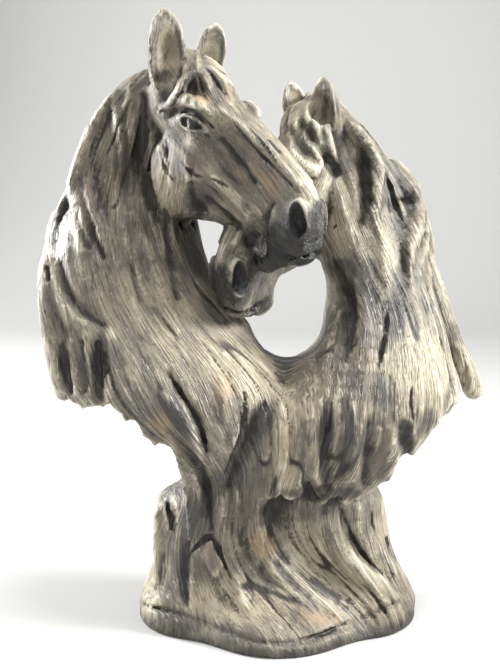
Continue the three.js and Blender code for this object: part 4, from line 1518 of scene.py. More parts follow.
@dataclass(frozen=True)
class DriftwoodPaint:
    """The layered paint of the casting: grey wood, cream dry brushing, cream patches that are partly painted
    light, washes, and painted shade in the recesses.
    """

    # The deep brown-black of the fine lines and pits, also used for painted shade in recesses, creases and
    # grooves and for the shadow wash.
    deep: Colour = (0.009, 0.007, 0.005, 1)
    grey: Colour = (0.108, 0.097, 0.078, 1)
    olive: Colour = (0.194, 0.172, 0.126, 1)
    cream_and_light: Colour = (0.425, 0.370, 0.258, 1)
    pale: Colour = (0.680, 0.640, 0.530, 1)
    slate: Colour = (0.038, 0.037, 0.037, 1)
    soot: Colour = (0.009, 0.009, 0.010, 1)
    rust: Colour = (0.350, 0.225, 0.115, 1)
    mauve: Colour = (0.165, 0.120, 0.098, 1)
    # Near-black for the eyes, and for painted shade in the nostrils and the parted lips.
    night: Colour = (0.006, 0.006, 0.008, 1)
    coat: float = 0.14
    coat_roughness: float = 0.36
    bump: float = 0.0027

    # Width and length in millimetres, seed and detail.
    STREAKS = {"broad": (10, 110, 1, 3.0), "medium": (2.2, 54, 2, 3.0), "fine": (1.0, 30, 3, 5.0),
               "nick": (1.5, 8, 9, 4.0)}
    SHORTER_ON_FACE = 0.5

    def build(self) -> bpy.types.Material:
        """Builds the material.

        Returns:
            The material.
        """
        material = bpy.data.materials.new("driftwood_paint")
        material.use_nodes = True
        nodes = Nodes(material.node_tree)
        grain = self.grain(nodes)
        colour = self.washed(nodes, grain, self.bare(nodes, grain))
        inputs = {"Base Color": self.darkened(nodes, grain, colour),
                  "Roughness": self.roughness(nodes, grain),
                  "Normal": self.relief(nodes, grain), "Coat Weight": self.coat,
                  "Coat Roughness": self.coat_roughness}
        for name, value in inputs.items():
            nodes.feed(material.node_tree.nodes["Principled BSDF"].inputs[name], value)
        return material

    def grain(self, nodes: Nodes) -> Grain:
        """Draws the streaks and blotches and reads the masks.

        Args:
            nodes: The builder of the material's tree.

        Returns:
            The values that the paint follows.
        """
        group, streaks = wood_streaks(), {}
        wood, face = nodes.attribute("wood_run", True), nodes.attribute("face_run", True)
        on_face = nodes.attribute("on_face")
        for name, (width, length, seed, detail) in self.STREAKS.items():
            values = {"Run": wood, "Width": width, "Length": length, "Seed": seed, "Detail": detail}
            shorter = {**values, "Run": face, "Length": length * self.SHORTER_ON_FACE}
            sides = {0: on_face, 2: nodes.placed(group, values), 3: nodes.placed(group, shorter)}
            streaks[name] = nodes.add("ShaderNodeMix", sides, data_type="FLOAT").outputs[0]
        place = nodes.add("ShaderNodeTexCoord").outputs["Object"]
        blotch = nodes.add("ShaderNodeTexNoise",
                           {"Vector": place, "Scale": 55.0, "Detail": 4.0, "Roughness": 0.6})
        height = nodes.add("ShaderNodeSeparateXYZ", {0: place}).outputs[2]
        raised = nodes.product(nodes.attribute("raised"), nodes.ramp(height, 0.004, 0.03))
        masks = [nodes.attribute(name) for name in (Tint.CREAM_AND_LIGHT.value, "muzzle", "ear")]
        return Grain(**streaks, blotch=blotch.outputs[0], height=height, raised=raised,
                     cream_and_light=masks[0], muzzle=masks[1], ear=masks[2])

    def bare(self, nodes: Nodes, grain: Grain) -> Socket:
        """Paints the wood grey and olive and brushes it with cream; the cream patches also lay painted light
        where the lamps fall.

        Args:
            nodes: The builder of the material's tree.
            grain: The values that the paint follows.

        Returns:
            The colour.
        """
        mottle = nodes.total(grain.broad, nodes.swing(grain.blotch, 0.5))
        colour = nodes.mix(nodes.ramp(mottle, 0.36, 0.64), self.grey, self.olive)
        # Cream streaks, blotches and ridges; the cream patches add painted light here too.
        lift = nodes.total(nodes.swing(grain.medium, 1.2), nodes.product(grain.raised, 0.6),
                           nodes.swing(grain.blotch, 1.6), nodes.product(grain.cream_and_light, 0.75))
        colour = nodes.laid(colour, self.cream_and_light, lift, -0.15, 1.0, 0.85)
        # Cream laid over the cream patches: real cream paint, and painted light where the lamps fall.
        cream_and_light_cover = nodes.product(grain.cream_and_light, nodes.ramp(grain.broad, 0.25, 0.6), 0.68)
        colour = nodes.mix(cream_and_light_cover, colour, self.cream_and_light)
        colour = nodes.laid(colour, nodes.mix(0.75, colour, self.deep), grain.fine, 0.47, 0.38, 0.72)
        colour = nodes.laid(colour, self.deep, grain.nick, 0.37, 0.29, 0.8)
        colour = nodes.laid(colour, self.pale, grain.nick, 0.62, 0.72, 0.6)
        # Pale dry brushing on the ridges, with pale painted light over the cream patches.
        brush_and_light = nodes.total(nodes.swing(grain.fine, 2.2), grain.raised, nodes.product(grain.cream_and_light, 0.55))
        colour = nodes.laid(colour, self.pale, brush_and_light, 0.65, 1.5, 0.6)
        return nodes.mix(nodes.product(grain.ear, 0.7), colour, self.cream_and_light)

    def washed(self, nodes: Nodes, grain: Grain, colour: Socket) -> Socket:
        """Lays on the washes and darkens the muzzles.

        Args:
            nodes: The builder of the material's tree.
            grain: The values that the paint follows.
            colour: The colour below.

        Returns:
            The colour.
        """
        group = paint_patch()
        washes = ((Tint.RUST, self.rust, grain.medium, 0.9, 0.6),
                  (Tint.MAUVE, self.mauve, grain.broad, 0.8, 0.6),
                  (Tint.SLATE, self.slate, grain.medium, 1.0, 0.85),
                  (Tint.SHADOW, self.deep, grain.broad, 0.7, 0.75))
        layers = [(nodes.attribute(tint.value), *wash) for tint, *wash in washes]
        layers.append((grain.muzzle, self.soot, grain.blotch, 0.5, 0.96))
        for mask, paint, streak, broken, strength in layers:
            colour = nodes.placed(group, {"Color": colour, "Tint": paint, "Mask": mask, "Streak": streak,
                                          "Break": broken, "Strength": strength})
        return colour

    def darkened(self, nodes: Nodes, grain: Grain, colour: Socket) -> Socket:
        """Paints shade into the recesses and creases, darkens the cracks and cut lines, partly with painted
        shade, darkens the foot and the eyes, and paints shade into the nostrils and the parted lips.

        Args:
            nodes: The builder of the material's tree.
            grain: The values that the paint follows.
            colour: The colour below.

        Returns:
            The colour.
        """
        # Painted shade in the recesses, kept off the inner ears.
        hollow = nodes.total(nodes.attribute("recess"), nodes.swing(grain.medium, 0.8))
        hollow = nodes.math("SUBTRACT", hollow, nodes.product(grain.ear, 0.8))
        colour = nodes.laid(colour, self.deep, hollow, 0.38, 1.15, 0.82)
        # Painted shade along the carved creases.
        crease = nodes.total(nodes.attribute("crease"), nodes.math("SUBTRACT", grain.medium, 0.5))
        colour = nodes.laid(colour, self.deep, crease, 0.35, 1.2, 0.42)
        # The cracks and cut lines: partly their own dark, partly painted shade in the grooves.
        crack = nodes.math("MAXIMUM", nodes.attribute("crack"), nodes.attribute("line"))
        colour = nodes.laid(colour, self.deep, crack, 0.3, 0.95, 0.88)
        foot = nodes.total(grain.height, nodes.swing(grain.blotch, 0.016))
        colour = nodes.laid(colour, self.deep, foot, 0.013, 0.001, 0.7)
        # Near-black in the nostrils and the parting of the lips as painted shade, and in the eyes as their
        # own dark.
        dark = nodes.math("MAXIMUM", nodes.attribute("dark"), nodes.product(nodes.attribute("eye"), 0.82))
        return nodes.mix(nodes.product(dark, 0.93), colour, self.night)

    def roughness(self, nodes: Nodes, grain: Grain) -> Socket:
        """Makes the eyes and the muzzles smoother than the wood.

        Args:
            nodes: The builder of the material's tree.
            grain: The values that the paint follows.

        Returns:
            The roughness.
        """
        rough = nodes.total(0.36, nodes.product(nodes.math("SUBTRACT", grain.medium, 0.35), 0.6))
        sleek = nodes.math("MAXIMUM", nodes.attribute("eye"), grain.muzzle)
        return nodes.math("SUBTRACT", rough, nodes.product(sleek, 0.22), clamp=True)

    def relief(self, nodes: Nodes, grain: Grain) -> Socket:
        """Raises the streaks and blotches a little.

        Args:
            nodes: The builder of the material's tree.
            grain: The values that the paint follows.

        Returns:
            The normal.
        """
        rise = nodes.total(nodes.product(grain.fine, 0.9), nodes.product(grain.medium, 0.5),
                           nodes.product(grain.blotch, 0.25), nodes.product(grain.nick, 0.45))
        return nodes.add("ShaderNodeBump",
                         {"Strength": 1.0, "Distance": self.bump, "Height": rise}).outputs[0]


@dataclass
class Studio:
    """The pale floor, the soft lights and the camera at the photograph's angle."""

    target: Vector
    elevation: float = 10.9
    distance: float = 0.820
    upright_view: float = 32.0
    floor_colour: Colour = (0.48, 0.48, 0.47, 1)
    air: float = 0.26

    def build(self) -> None:
        """Builds the stage."""
        self.floor()
        self.lights()
        self.camera()

    def floor(self) -> None:
        """Lays the floor and turns it up behind as a backdrop."""
        side, back, rise, corner = 3.0, 1.6, 3.0, 0.5
        profile = [(-side, 0.0), (back - corner, 0.0)]
        profile += [(back - corner + corner * math.sin(a), corner * (1 - math.cos(a)))
                    for a in np.linspace(0.1, math.pi / 2, 12)]
        profile += [(back, rise)]
        places = [(x, y, z) for y, z in profile for x in (-side, side)]
        faces = [(2 * i, 2 * i + 1, 2 * i + 3, 2 * i + 2) for i in range(len(profile) - 1)]
        mesh = bpy.data.meshes.new("studio_floor")
        mesh.from_pydata(places, [], faces)
        mesh.shade_smooth()
        material = bpy.data.materials.new("pale_floor")
        material.use_nodes = True
        shader = material.node_tree.nodes["Principled BSDF"]
        shader.inputs["Base Color"].default_value = self.floor_colour
        shader.inputs["Roughness"].default_value = 0.8
        mesh.materials.append(material)
        floor = bpy.data.objects.new("studio_floor", mesh)
        bpy.context.scene.collection.objects.link(floor)

    def lights(self) -> None:
        """Hangs the soft lights: one to each side, a front fill and one above."""
        soft = (("left_softbox", (-1.05, 0.50, 0.55), 0.4, 34),
                ("right_softbox", (1.05, -0.15, 0.75), 0.4, 36),
                ("front_fill", (-0.45, -1.3, 0.70), 0.6, 7.5), ("top_light", (0.15, -0.1, 1.35), 0.5, 12))
        for name, place, size, power in soft:
            data = bpy.data.lights.new(name, "AREA")
            data.shape, data.size, data.energy = "DISK", size, power
            lamp = bpy.data.objects.new(name, data)
            lamp.location = place
            lamp.rotation_euler = (self.target - Vector(place)).to_track_quat("-Z", "Y").to_euler()
            bpy.context.scene.collection.objects.link(lamp)
        world = bpy.data.worlds.new("studio_air")
        world.use_nodes = True
        world.node_tree.nodes["Background"].inputs[0].default_value = (1, 1, 1, 1)
        world.node_tree.nodes["Background"].inputs[1].default_value = self.air
        bpy.context.scene.world = world

    def camera(self) -> None:
        """Places the camera and sets how its picture shows brightness."""
        data = bpy.data.cameras.new("photo_camera")
        data.sensor_width = 36.0
        data.lens = data.sensor_width / 2 / math.tan(math.radians(self.upright_view / 2))
        camera = bpy.data.objects.new("photo_camera", data)
        fall = math.radians(self.elevation)
        camera.location = self.target + self.distance * Vector((0, -math.cos(fall), math.sin(fall)))
        camera.rotation_euler = (self.target - camera.location).to_track_quat("-Z", "Y").to_euler()
        bpy.context.scene.collection.objects.link(camera)
        bpy.context.scene.camera = camera
        bpy.context.scene.view_settings.view_transform = "Standard"


# Height, left, right, front and back of each section, in drawn millimetres.
TALL_NECK = [
    (40, -30, 0, -24, 30), (70, -52, 20, -38, 40), (100, -90, 50, -49, 46), (130, -128, 60, -50, 52),
    (152, -140, 62, -52, 56), (170, -140, 56, -50, 58), (185, -141, 36, -46, 60), (200, -143, 14, -41, 62),
    (219, -146, -6, -36, 64), (243, -145, -24, -28, 66), (275, -140, -36, -12, 68), (306, -126, -38, 6, 70),
    (330, -118, -32, 16, 70), (357, -105, -22, 22, 68), (376, -99, -18, 26, 64), (386, -89, -26, 30, 58),
    (396, -70, -40, 34, 52),
]
OTHER_NECK = [
    (60, -10, 74, -48, 40), (90, -12, 92, -58, 46), (120, -12, 118, -62, 50), (142, -8, 140, -62, 54),
    (160, -2, 148, -60, 56), (175, 8, 148, -56, 58), (190, 24, 144, -50, 58), (211, 47, 139, -40, 58),
    (240, 55, 131, -26, 60), (260, 50, 128, -14, 62), (280, 44, 121, -4, 64), (303, 42, 111, 4, 64),
    (325, 42, 102, 10, 62), (345, 42, 88, 14, 58), (356, 46, 78, 20, 52), (363, 52, 66, 26, 44),
]
STUMP = [
    (-8, -70, 106, -58, 64), (4, -74, 112, -60, 68), (14, -75, 115, -56, 66), (28, -73, 112, -51, 60),
    (50, -70, 104, -46, 52), (75, -70, 99, -43, 46), (90, -65, 95, -42, 44), (101, -50, 88, -42, 42),
    (112, -43, 84, -42, 42), (135, -44, 80, -46, 42), (160, -40, 70, -40, 36),
]
# Place across and height of the torn edge.
HEM_FRONT = [
    (-150, 176), (-136, 174), (-124, 167), (-112, 164), (-100, 168), (-93, 167), (-84, 159), (-78, 158),
    (-73, 146), (-66, 143), (-54, 141), (-50, 128), (-46, 112), (-42, 60), (-20, 20), (4, 50), (16, 96),
    (21, 106), (28, 105), (35, 110), (40, 118), (44, 110), (49, 104), (60, 107), (66, 102), (72, 104),
    (80, 109), (88, 113), (95, 117), (98, 126), (100, 134), (112, 136), (116, 141), (124, 151), (134, 162),
    (146, 168), (165, 170),
]
HEM_BACK = [
    (-150, 178), (-130, 160), (-112, 166), (-96, 146), (-78, 150), (-58, 128), (-40, 112), (-20, 98),
    (2, 108), (22, 92), (44, 104), (62, 96), (84, 112), (104, 104), (122, 128), (140, 140), (165, 168),
]
# Hanging locks: places across and up, from root to tip, and their radii.
LOCKS = [
    ([(67, 356), (77, 344), (83, 330), (85, 313), (84, 295)], [4, 5, 5, 4.5, 2.5]),
    ([(104, 321), (114, 303), (123, 282), (129, 260), (132, 240)], [4, 6, 7, 6, 3]),
    ([(-98, 372), (-104, 358), (-114, 335), (-118, 312), (-110, 291), (-99, 270)], [4, 6, 7, 7, 5, 2]),
    ([(-117, 330), (-124, 307), (-120, 291), (-115, 268)], [4, 6, 5, 2]),
    ([(-124, 306), (-136, 286), (-141, 256), (-140, 234), (-139, 214)], [4, 7, 8, 8, 5]),
    ([(-140, 234), (-138, 216), (-134, 192), (-130, 170)], [5, 7, 8, 7]),
]
# Carved runs: places in the picture, in pixels, and radii in drawn millimetres.
RUNS = [
    # Forelock of the tall horse.
    Run(Cut.LOCK, [(199, 66), (207, 80), (213, 95)], [1.2, 3, 1]),
    Run(Cut.LOCK, [(189, 73), (182, 86), (173, 99), (166, 116)], [1.2, 3, 2.8, 1]),
    Run(Cut.LOCK, [(211, 67), (224, 79), (236, 94)], [1.2, 3, 1]),
    Run(Cut.CRACK, [(196, 71), (201, 84), (205, 97)], [0.4, 1, 0.4]),
    Run(Cut.CRACK, [(206, 66), (216, 80), (226, 95)], [0.4, 1.1, 0.4]),
    Run(Cut.CRACK, [(187, 79), (182, 91), (172, 106)], [0.4, 1, 0.4]),
    Run(Cut.CRACK, [(219, 69), (232, 82), (242, 99)], [0.4, 0.9, 0.4]),
    Run(Cut.CREASE, [(194, 76), (193, 87), (195, 95)], [0.6, 1.6, 0.5]),
    # Wrinkles and planes of the tall horse's head.
    Run(Cut.RIDGE, [(166, 137), (181, 150), (191, 165), (190, 178)], [1, 2.2, 2.4, 1]),
    Run(Cut.RIDGE, [(160, 146), (163, 166), (172, 182)], [1, 2, 1]),
    Run(Cut.CRACK, [(165, 139), (166, 149), (167, 157)], [0.43, 1.1, 0.43]),
    Run(Cut.CRACK, [(159, 152), (165, 171), (173, 179)], [0.43, 1.1, 0.43]),
    Run(Cut.CRACK, [(182, 163), (191, 171), (201, 177), (214, 179), (227, 186)], [0.43, 1, 1, 0.86, 0.43]),
    Run(Cut.CREASE, [(192, 184), (190, 197), (202, 210)], [1, 2.4, 2]),
    Run(Cut.RIDGE, [(206, 188), (229, 205), (247, 220)], [1, 2.5, 1.5]),
    Run(Cut.RIDGE, [(214, 178), (236, 190), (262, 214)], [1, 2, 1]),
    Run(Cut.CREASE, [(209, 200), (226, 214), (240, 228)], [0.8, 1.8, 0.8]),
    Run(Cut.CRACK, [(236, 125), (252, 143), (266, 158), (291, 186)], [0.43, 0.94, 0.94, 0.58]),
    Run(Cut.CREASE, [(222, 140), (238, 160), (255, 180)], [0.6, 1.6, 0.6]),
    Run(Cut.CRACK, [(268, 140), (280, 153)], [0.43, 0.72]),
    Run(Cut.CRACK, [(250, 128), (262, 142), (276, 160)], [0.36, 0.72, 0.36]),
    Run(Cut.CREASE, [(272, 204), (264, 220), (266, 236)], [0.8, 2, 1]),
    # Tufts and creases of the lower horse's forehead.
    Run(Cut.CREASE, [(290, 128), (300, 146), (312, 158), (322, 164)], [0.8, 2.5, 2.5, 1]),
    Run(Cut.CREASE, [(303, 122), (314, 140), (326, 156)], [0.8, 2.2, 1.2]),
    Run(Cut.CREASE, [(322, 150), (330, 162), (337, 172)], [1.5, 3.5, 2.5]),
    Run(Cut.RIDGE, [(292, 152), (304, 166), (318, 172)], [1, 2.5, 1.5]),
    Run(Cut.CRACK, [(318, 240), (328, 232), (336, 226)], [0.58, 1.2, 0.58]),
    # Mane and neck of the tall horse.
    Run(Cut.LOCK, [(115, 92), (114, 104), (121, 128), (124, 150), (123, 173)], [0.8, 3, 4.5, 4, 1.2]),
    Run(Cut.LOCK, [(131, 84), (126, 104), (132, 128), (132, 150), (128, 170)], [1.5, 3.5, 4, 3.5, 1]),
    Run(Cut.RIDGE,
        [(110, 98), (102, 114), (88, 138), (82, 159), (85, 192), (94, 216), (108, 244), (117, 263)],
        [1, 5, 6, 6, 5.5, 5, 4, 1.5]),
    Run(Cut.LOCK, [(90, 130), (76, 164), (70, 192), (80, 211), (87, 230), (86, 249)],
        [2, 4.5, 5, 4.5, 3.5, 1]),
    Run(Cut.RIDGE, [(70, 188), (54, 218), (51, 242), (55, 268), (58, 291), (68, 310), (86, 325), (106, 334)],
        [1, 5, 6, 6, 6.5, 7, 7, 5]),
    Run(Cut.RIDGE, [(47, 263), (45, 286), (53, 315), (58, 338), (57, 366), (60, 388)], [4, 5, 5, 6, 6, 5]),
    Run(Cut.RIDGE, [(76, 334), (69, 348), (76, 362), (78, 390)], [1, 4, 5, 4]),
    Run(Cut.RIDGE, [(89, 336), (86, 366), (89, 398)], [3, 6, 6]),
    Run(Cut.RIDGE, [(108, 338), (103, 366), (108, 396)], [4, 4, 4]),
    Run(Cut.RIDGE, [(112, 170), (116, 205), (124, 240), (140, 275)], [1, 4, 4, 1]),
    Run(Cut.RIDGE, [(132, 215), (143, 250), (158, 290), (178, 330)], [1, 4.5, 4.5, 1.5]),
    Run(Cut.CREASE, [(143, 95), (141, 131), (142, 170), (148, 201), (158, 218)], [1, 4, 5, 4, 2]),
    Run(Cut.CREASE, [(124, 131), (127, 159), (124, 186)], [0.6, 1.5, 0.5]),
    Run(Cut.CREASE, [(80, 178), (84, 215), (93, 238), (103, 256)], [0.5, 1.6, 1.6, 0.4]),
    Run(Cut.CREASE, [(74, 205), (76, 225), (88, 246)], [1.5, 2.6, 1]),
    Run(Cut.CREASE, [(60, 262), (64, 290), (80, 312), (102, 325)], [0.8, 3, 3, 0.8]),
    Run(Cut.CREASE, [(62, 346), (64, 364), (70, 388)], [1, 3, 2]),
    Run(Cut.CREASE, [(81, 344), (80, 366), (83, 390)], [1, 3, 2]),
    Run(Cut.CREASE, [(97, 345), (96, 372), (98, 396)], [1, 3.5, 2]),
    Run(Cut.CREASE, [(153, 308), (165, 324), (177, 338)], [0.3, 0.9, 0.3]),
    Run(Cut.CREASE, [(193, 318), (205, 332), (222, 350)], [0.4, 1.6, 0.4]),
    Run(Cut.CREASE, [(130, 262), (134, 284), (140, 300)], [0.3, 1.2, 0.3]),
    Run(Cut.CREASE, [(166, 222), (170, 262), (178, 298)], [1, 3.5, 1]),
    Run(Cut.CRACK, [(103, 354), (106, 372), (101, 382)], [0.8, 2, 0.8]),
    Run(Cut.CRACK, [(47, 268), (48, 280)], [1, 2]),
    # Mane and neck of the other horse.
    Run(Cut.LOCK, [(350, 123), (365, 134), (375, 152), (378, 171), (378, 193), (376, 211)],
        [1.5, 4, 5, 5, 4.5, 3]),
    Run(Cut.LOCK, [(352, 128), (362, 142), (357, 152)], [2, 3, 1.5]),
    Run(Cut.LOCK,
        [(383, 156), (397, 168), (408, 187), (414, 207), (415, 228), (410, 247), (407, 264), (411, 284)],
        [1, 6, 8.5, 9, 8, 6.5, 5, 1]),
    Run(Cut.RIDGE, [(413, 186), (423, 210), (427, 236), (420, 258), (418, 276)], [2, 4, 5, 4, 1]),
    Run(Cut.RIDGE, [(374, 215), (384, 240), (387, 270), (386, 300)], [1, 4, 4, 1]),
    Run(Cut.CREASE, [(357, 143), (363, 162), (367, 184), (365, 210), (362, 224)], [1, 3.2, 3.8, 3, 1]),
    Run(Cut.CREASE, [(386, 172), (390, 188), (395, 204), (403, 224)], [1.2, 4, 4.2, 1.2]),
    Run(Cut.CRACK, [(387, 174), (391, 190), (396, 205), (403, 221)], [0.8, 2.4, 2.2, 0.6]),
    Run(Cut.CREASE, [(405, 244), (402, 270), (409, 289)], [1, 3.4, 1]),
    Run(Cut.CREASE, [(430, 288), (437, 314), (446, 340), (454, 371), (456, 390)], [1.5, 3.5, 4, 4, 3]),
    Run(Cut.CREASE, [(333, 262), (344, 286), (350, 310), (350, 336), (345, 360)], [1.5, 4, 4.5, 3.5, 0.8]),
    Run(Cut.RIDGE, [(342, 312), (334, 340), (325, 370)], [1, 3.5, 1.5]),
    Run(Cut.RIDGE, [(364, 300), (366, 330), (360, 362)], [1, 4, 1.5]),
    Run(Cut.CRACK, [(389, 300), (388, 315), (387, 332), (382, 353), (378, 367)], [0.5, 1.6, 1.0, 1.7, 0.5]),
    # Chest and torn edge.
    Run(Cut.CREASE, [(168, 372), (179, 393), (193, 409), (203, 432), (206, 456)], [1, 2.6, 2.3, 3, 1.6]),
    Run(Cut.CRACK, [(171, 376), (181, 394), (194, 411), (204, 434), (206, 452)], [0.7, 1.7, 1.1, 2.0, 1.0]),
    Run(Cut.RIDGE, [(165, 395), (185, 415), (194, 436), (202, 455)], [1.5, 4, 4, 2]),
    Run(Cut.CREASE, [(178, 440), (191, 460), (202, 472), (205, 486), (210, 506), (212, 530)],
        [1.5, 3, 3, 3, 2.5, 1]),
    Run(Cut.CRACK, [(203, 470), (205, 486), (210, 506), (212, 528)], [0.5, 1.2, 1, 0.4]),
    Run(Cut.CRACK, [(244, 391), (246, 411), (242, 432), (232, 454), (226, 471)], [0.4, 1.2, 1.3, 1, 0.4]),
    Run(Cut.CREASE, [(262, 406), (250, 430), (238, 456), (228, 486)], [1.5, 4.5, 4.5, 1.5]),
    Run(Cut.RIDGE, [(222, 380), (226, 408), (222, 436)], [1, 3, 1]),
    Run(Cut.RIDGE, [(280, 400), (284, 432), (282, 466)], [1.5, 5, 2]),
    Run(Cut.CREASE, [(327, 404), (325, 432), (327, 458), (326, 486)], [1.5, 4, 4.5, 3]),
    Run(Cut.CRACK, [(333, 402), (330, 424), (322, 442), (320, 466)], [0.4, 1.2, 1.1, 0.4]),
    Run(Cut.RIDGE, [(352, 398), (355, 436), (352, 480)], [1.5, 5, 3]),
    Run(Cut.CREASE, [(368, 420), (370, 450), (366, 484)], [1, 3.5, 2.5]),
    Run(Cut.CRACK, [(411, 388), (410, 404), (412, 418)], [0.6, 1.5, 0.8]),
    Run(Cut.CREASE, [(404, 424), (405, 438), (408, 452)], [2.4, 4.6, 3.4]),
    Run(Cut.RIDGE, [(390, 430), (392, 450), (388, 470)], [2, 4.5, 3]),
    Run(Cut.CREASE, [(306, 478), (312, 490), (318, 500)], [1.5, 4.5, 3]),
    # Stump.
    Run(Cut.FLUTE, [(280, 512), (293, 544), (314, 566), (344, 596), (372, 614)], [10, 15, 17, 17, 12]),
    Run(Cut.RIDGE, [(326, 522), (336, 544), (354, 566), (376, 584), (400, 600)], [2, 5, 6, 5, 2]),
    Run(Cut.RIDGE, [(262, 530), (268, 556), (284, 580), (306, 594), (328, 610), (348, 622)],
        [1.5, 5, 5.5, 5, 5, 2]),
    Run(Cut.CREASE, [(276, 564), (288, 581), (309, 595)], [1, 3, 1]),
    Run(Cut.RIDGE, [(357, 508), (361, 530), (373, 549), (393, 572)], [2, 5, 6, 3]),
    Run(Cut.CREASE, [(343, 514), (350, 540), (365, 559), (382, 574)], [1.5, 3.4, 3, 0.8]),
    Run(Cut.CRACK, [(345, 518), (352, 541), (366, 560), (382, 574)], [0.5, 1.5, 1.2, 0.4]),
    Run(Cut.CRACK, [(371, 512), (373, 524), (376, 536)], [0.4, 1.1, 0.4]),
    Run(Cut.CRACK, [(386, 538), (391, 550)], [1.2, 0.7]),
    Run(Cut.CREASE, [(167, 500), (170, 512), (172, 530)], [2, 2.8, 0.8]),
    Run(Cut.CRACK, [(167, 504), (170, 516), (172, 528)], [1.2, 1.6, 0.5]),
    Run(Cut.RIDGE, [(158, 512), (160, 545), (156, 580)], [3, 5, 3]),
    Run(Cut.CREASE, [(186, 544), (182, 570), (186, 604)], [2, 4.5, 1.5]),
    Run(Cut.RIDGE, [(222, 500), (226, 535), (238, 570), (246, 606)], [1.5, 4.5, 4.5, 1.5]),
    Run(Cut.LOCK, [(211, 538), (207, 556), (214, 572)], [1.5, 5, 2]),
    Run(Cut.LOCK, [(212, 540), (221, 558), (216, 574)], [1.5, 4, 2]),
    Run(Cut.CRACK, [(189, 555), (200, 544), (211, 533), (218, 548), (226, 568)], [0.6, 1.6, 2, 1.6, 0.6]),
    Run(Cut.CREASE,
        [(140, 604), (172, 613), (205, 621), (232, 636), (268, 646), (308, 644), (344, 628), (378, 612),
         (404, 600)],
        [0.4, 1.1, 0.5, 1.2, 0.5, 1.2, 0.6, 1.1, 0.4]),
    Run(Cut.CRACK, [(300, 640), (330, 633), (345, 624)], [0.6, 1.4, 0.6]),
]
# The line between the two necks: height and place across.
SEAM = [(0, 84), (21, 76), (37, 50), (55, 30), (78, 18), (100, 14), (120, 20), (150, 24), (170, 26),
        (190, 27)]
WOOD = WoodRun(
    left=[(0, -80), (30, -73), (50, -68), (75, -67), (100, -50), (119, -55), (135, -75), (150, -110),
          (165, -137), (190, -139), (219, -141), (243, -145), (279, -139), (306, -125), (330, -116),
          (357, -102), (377, -97), (390, -72), (400, -60)],
    inner_left=SEAM
    + [(197, 14), (215, -3.5), (243, -24.5), (275, -35), (288, -39.5), (306, -40), (350, -35), (390, -30)],
    inner_right=SEAM
    + [(192, 39), (211, 53), (240, 56), (260, 50), (280, 45), (300, 43), (345, 42), (363, 50)],
    right=[(0, 120), (9, 119), (28, 114), (48, 102), (75, 97), (91, 92), (101, 105), (120, 119), (131, 136),
           (150, 146), (165, 152), (190, 150), (211, 144), (233, 137), (254, 130), (275, 121), (303, 114),
           (316, 103), (333, 92), (354, 78), (364, 65)])
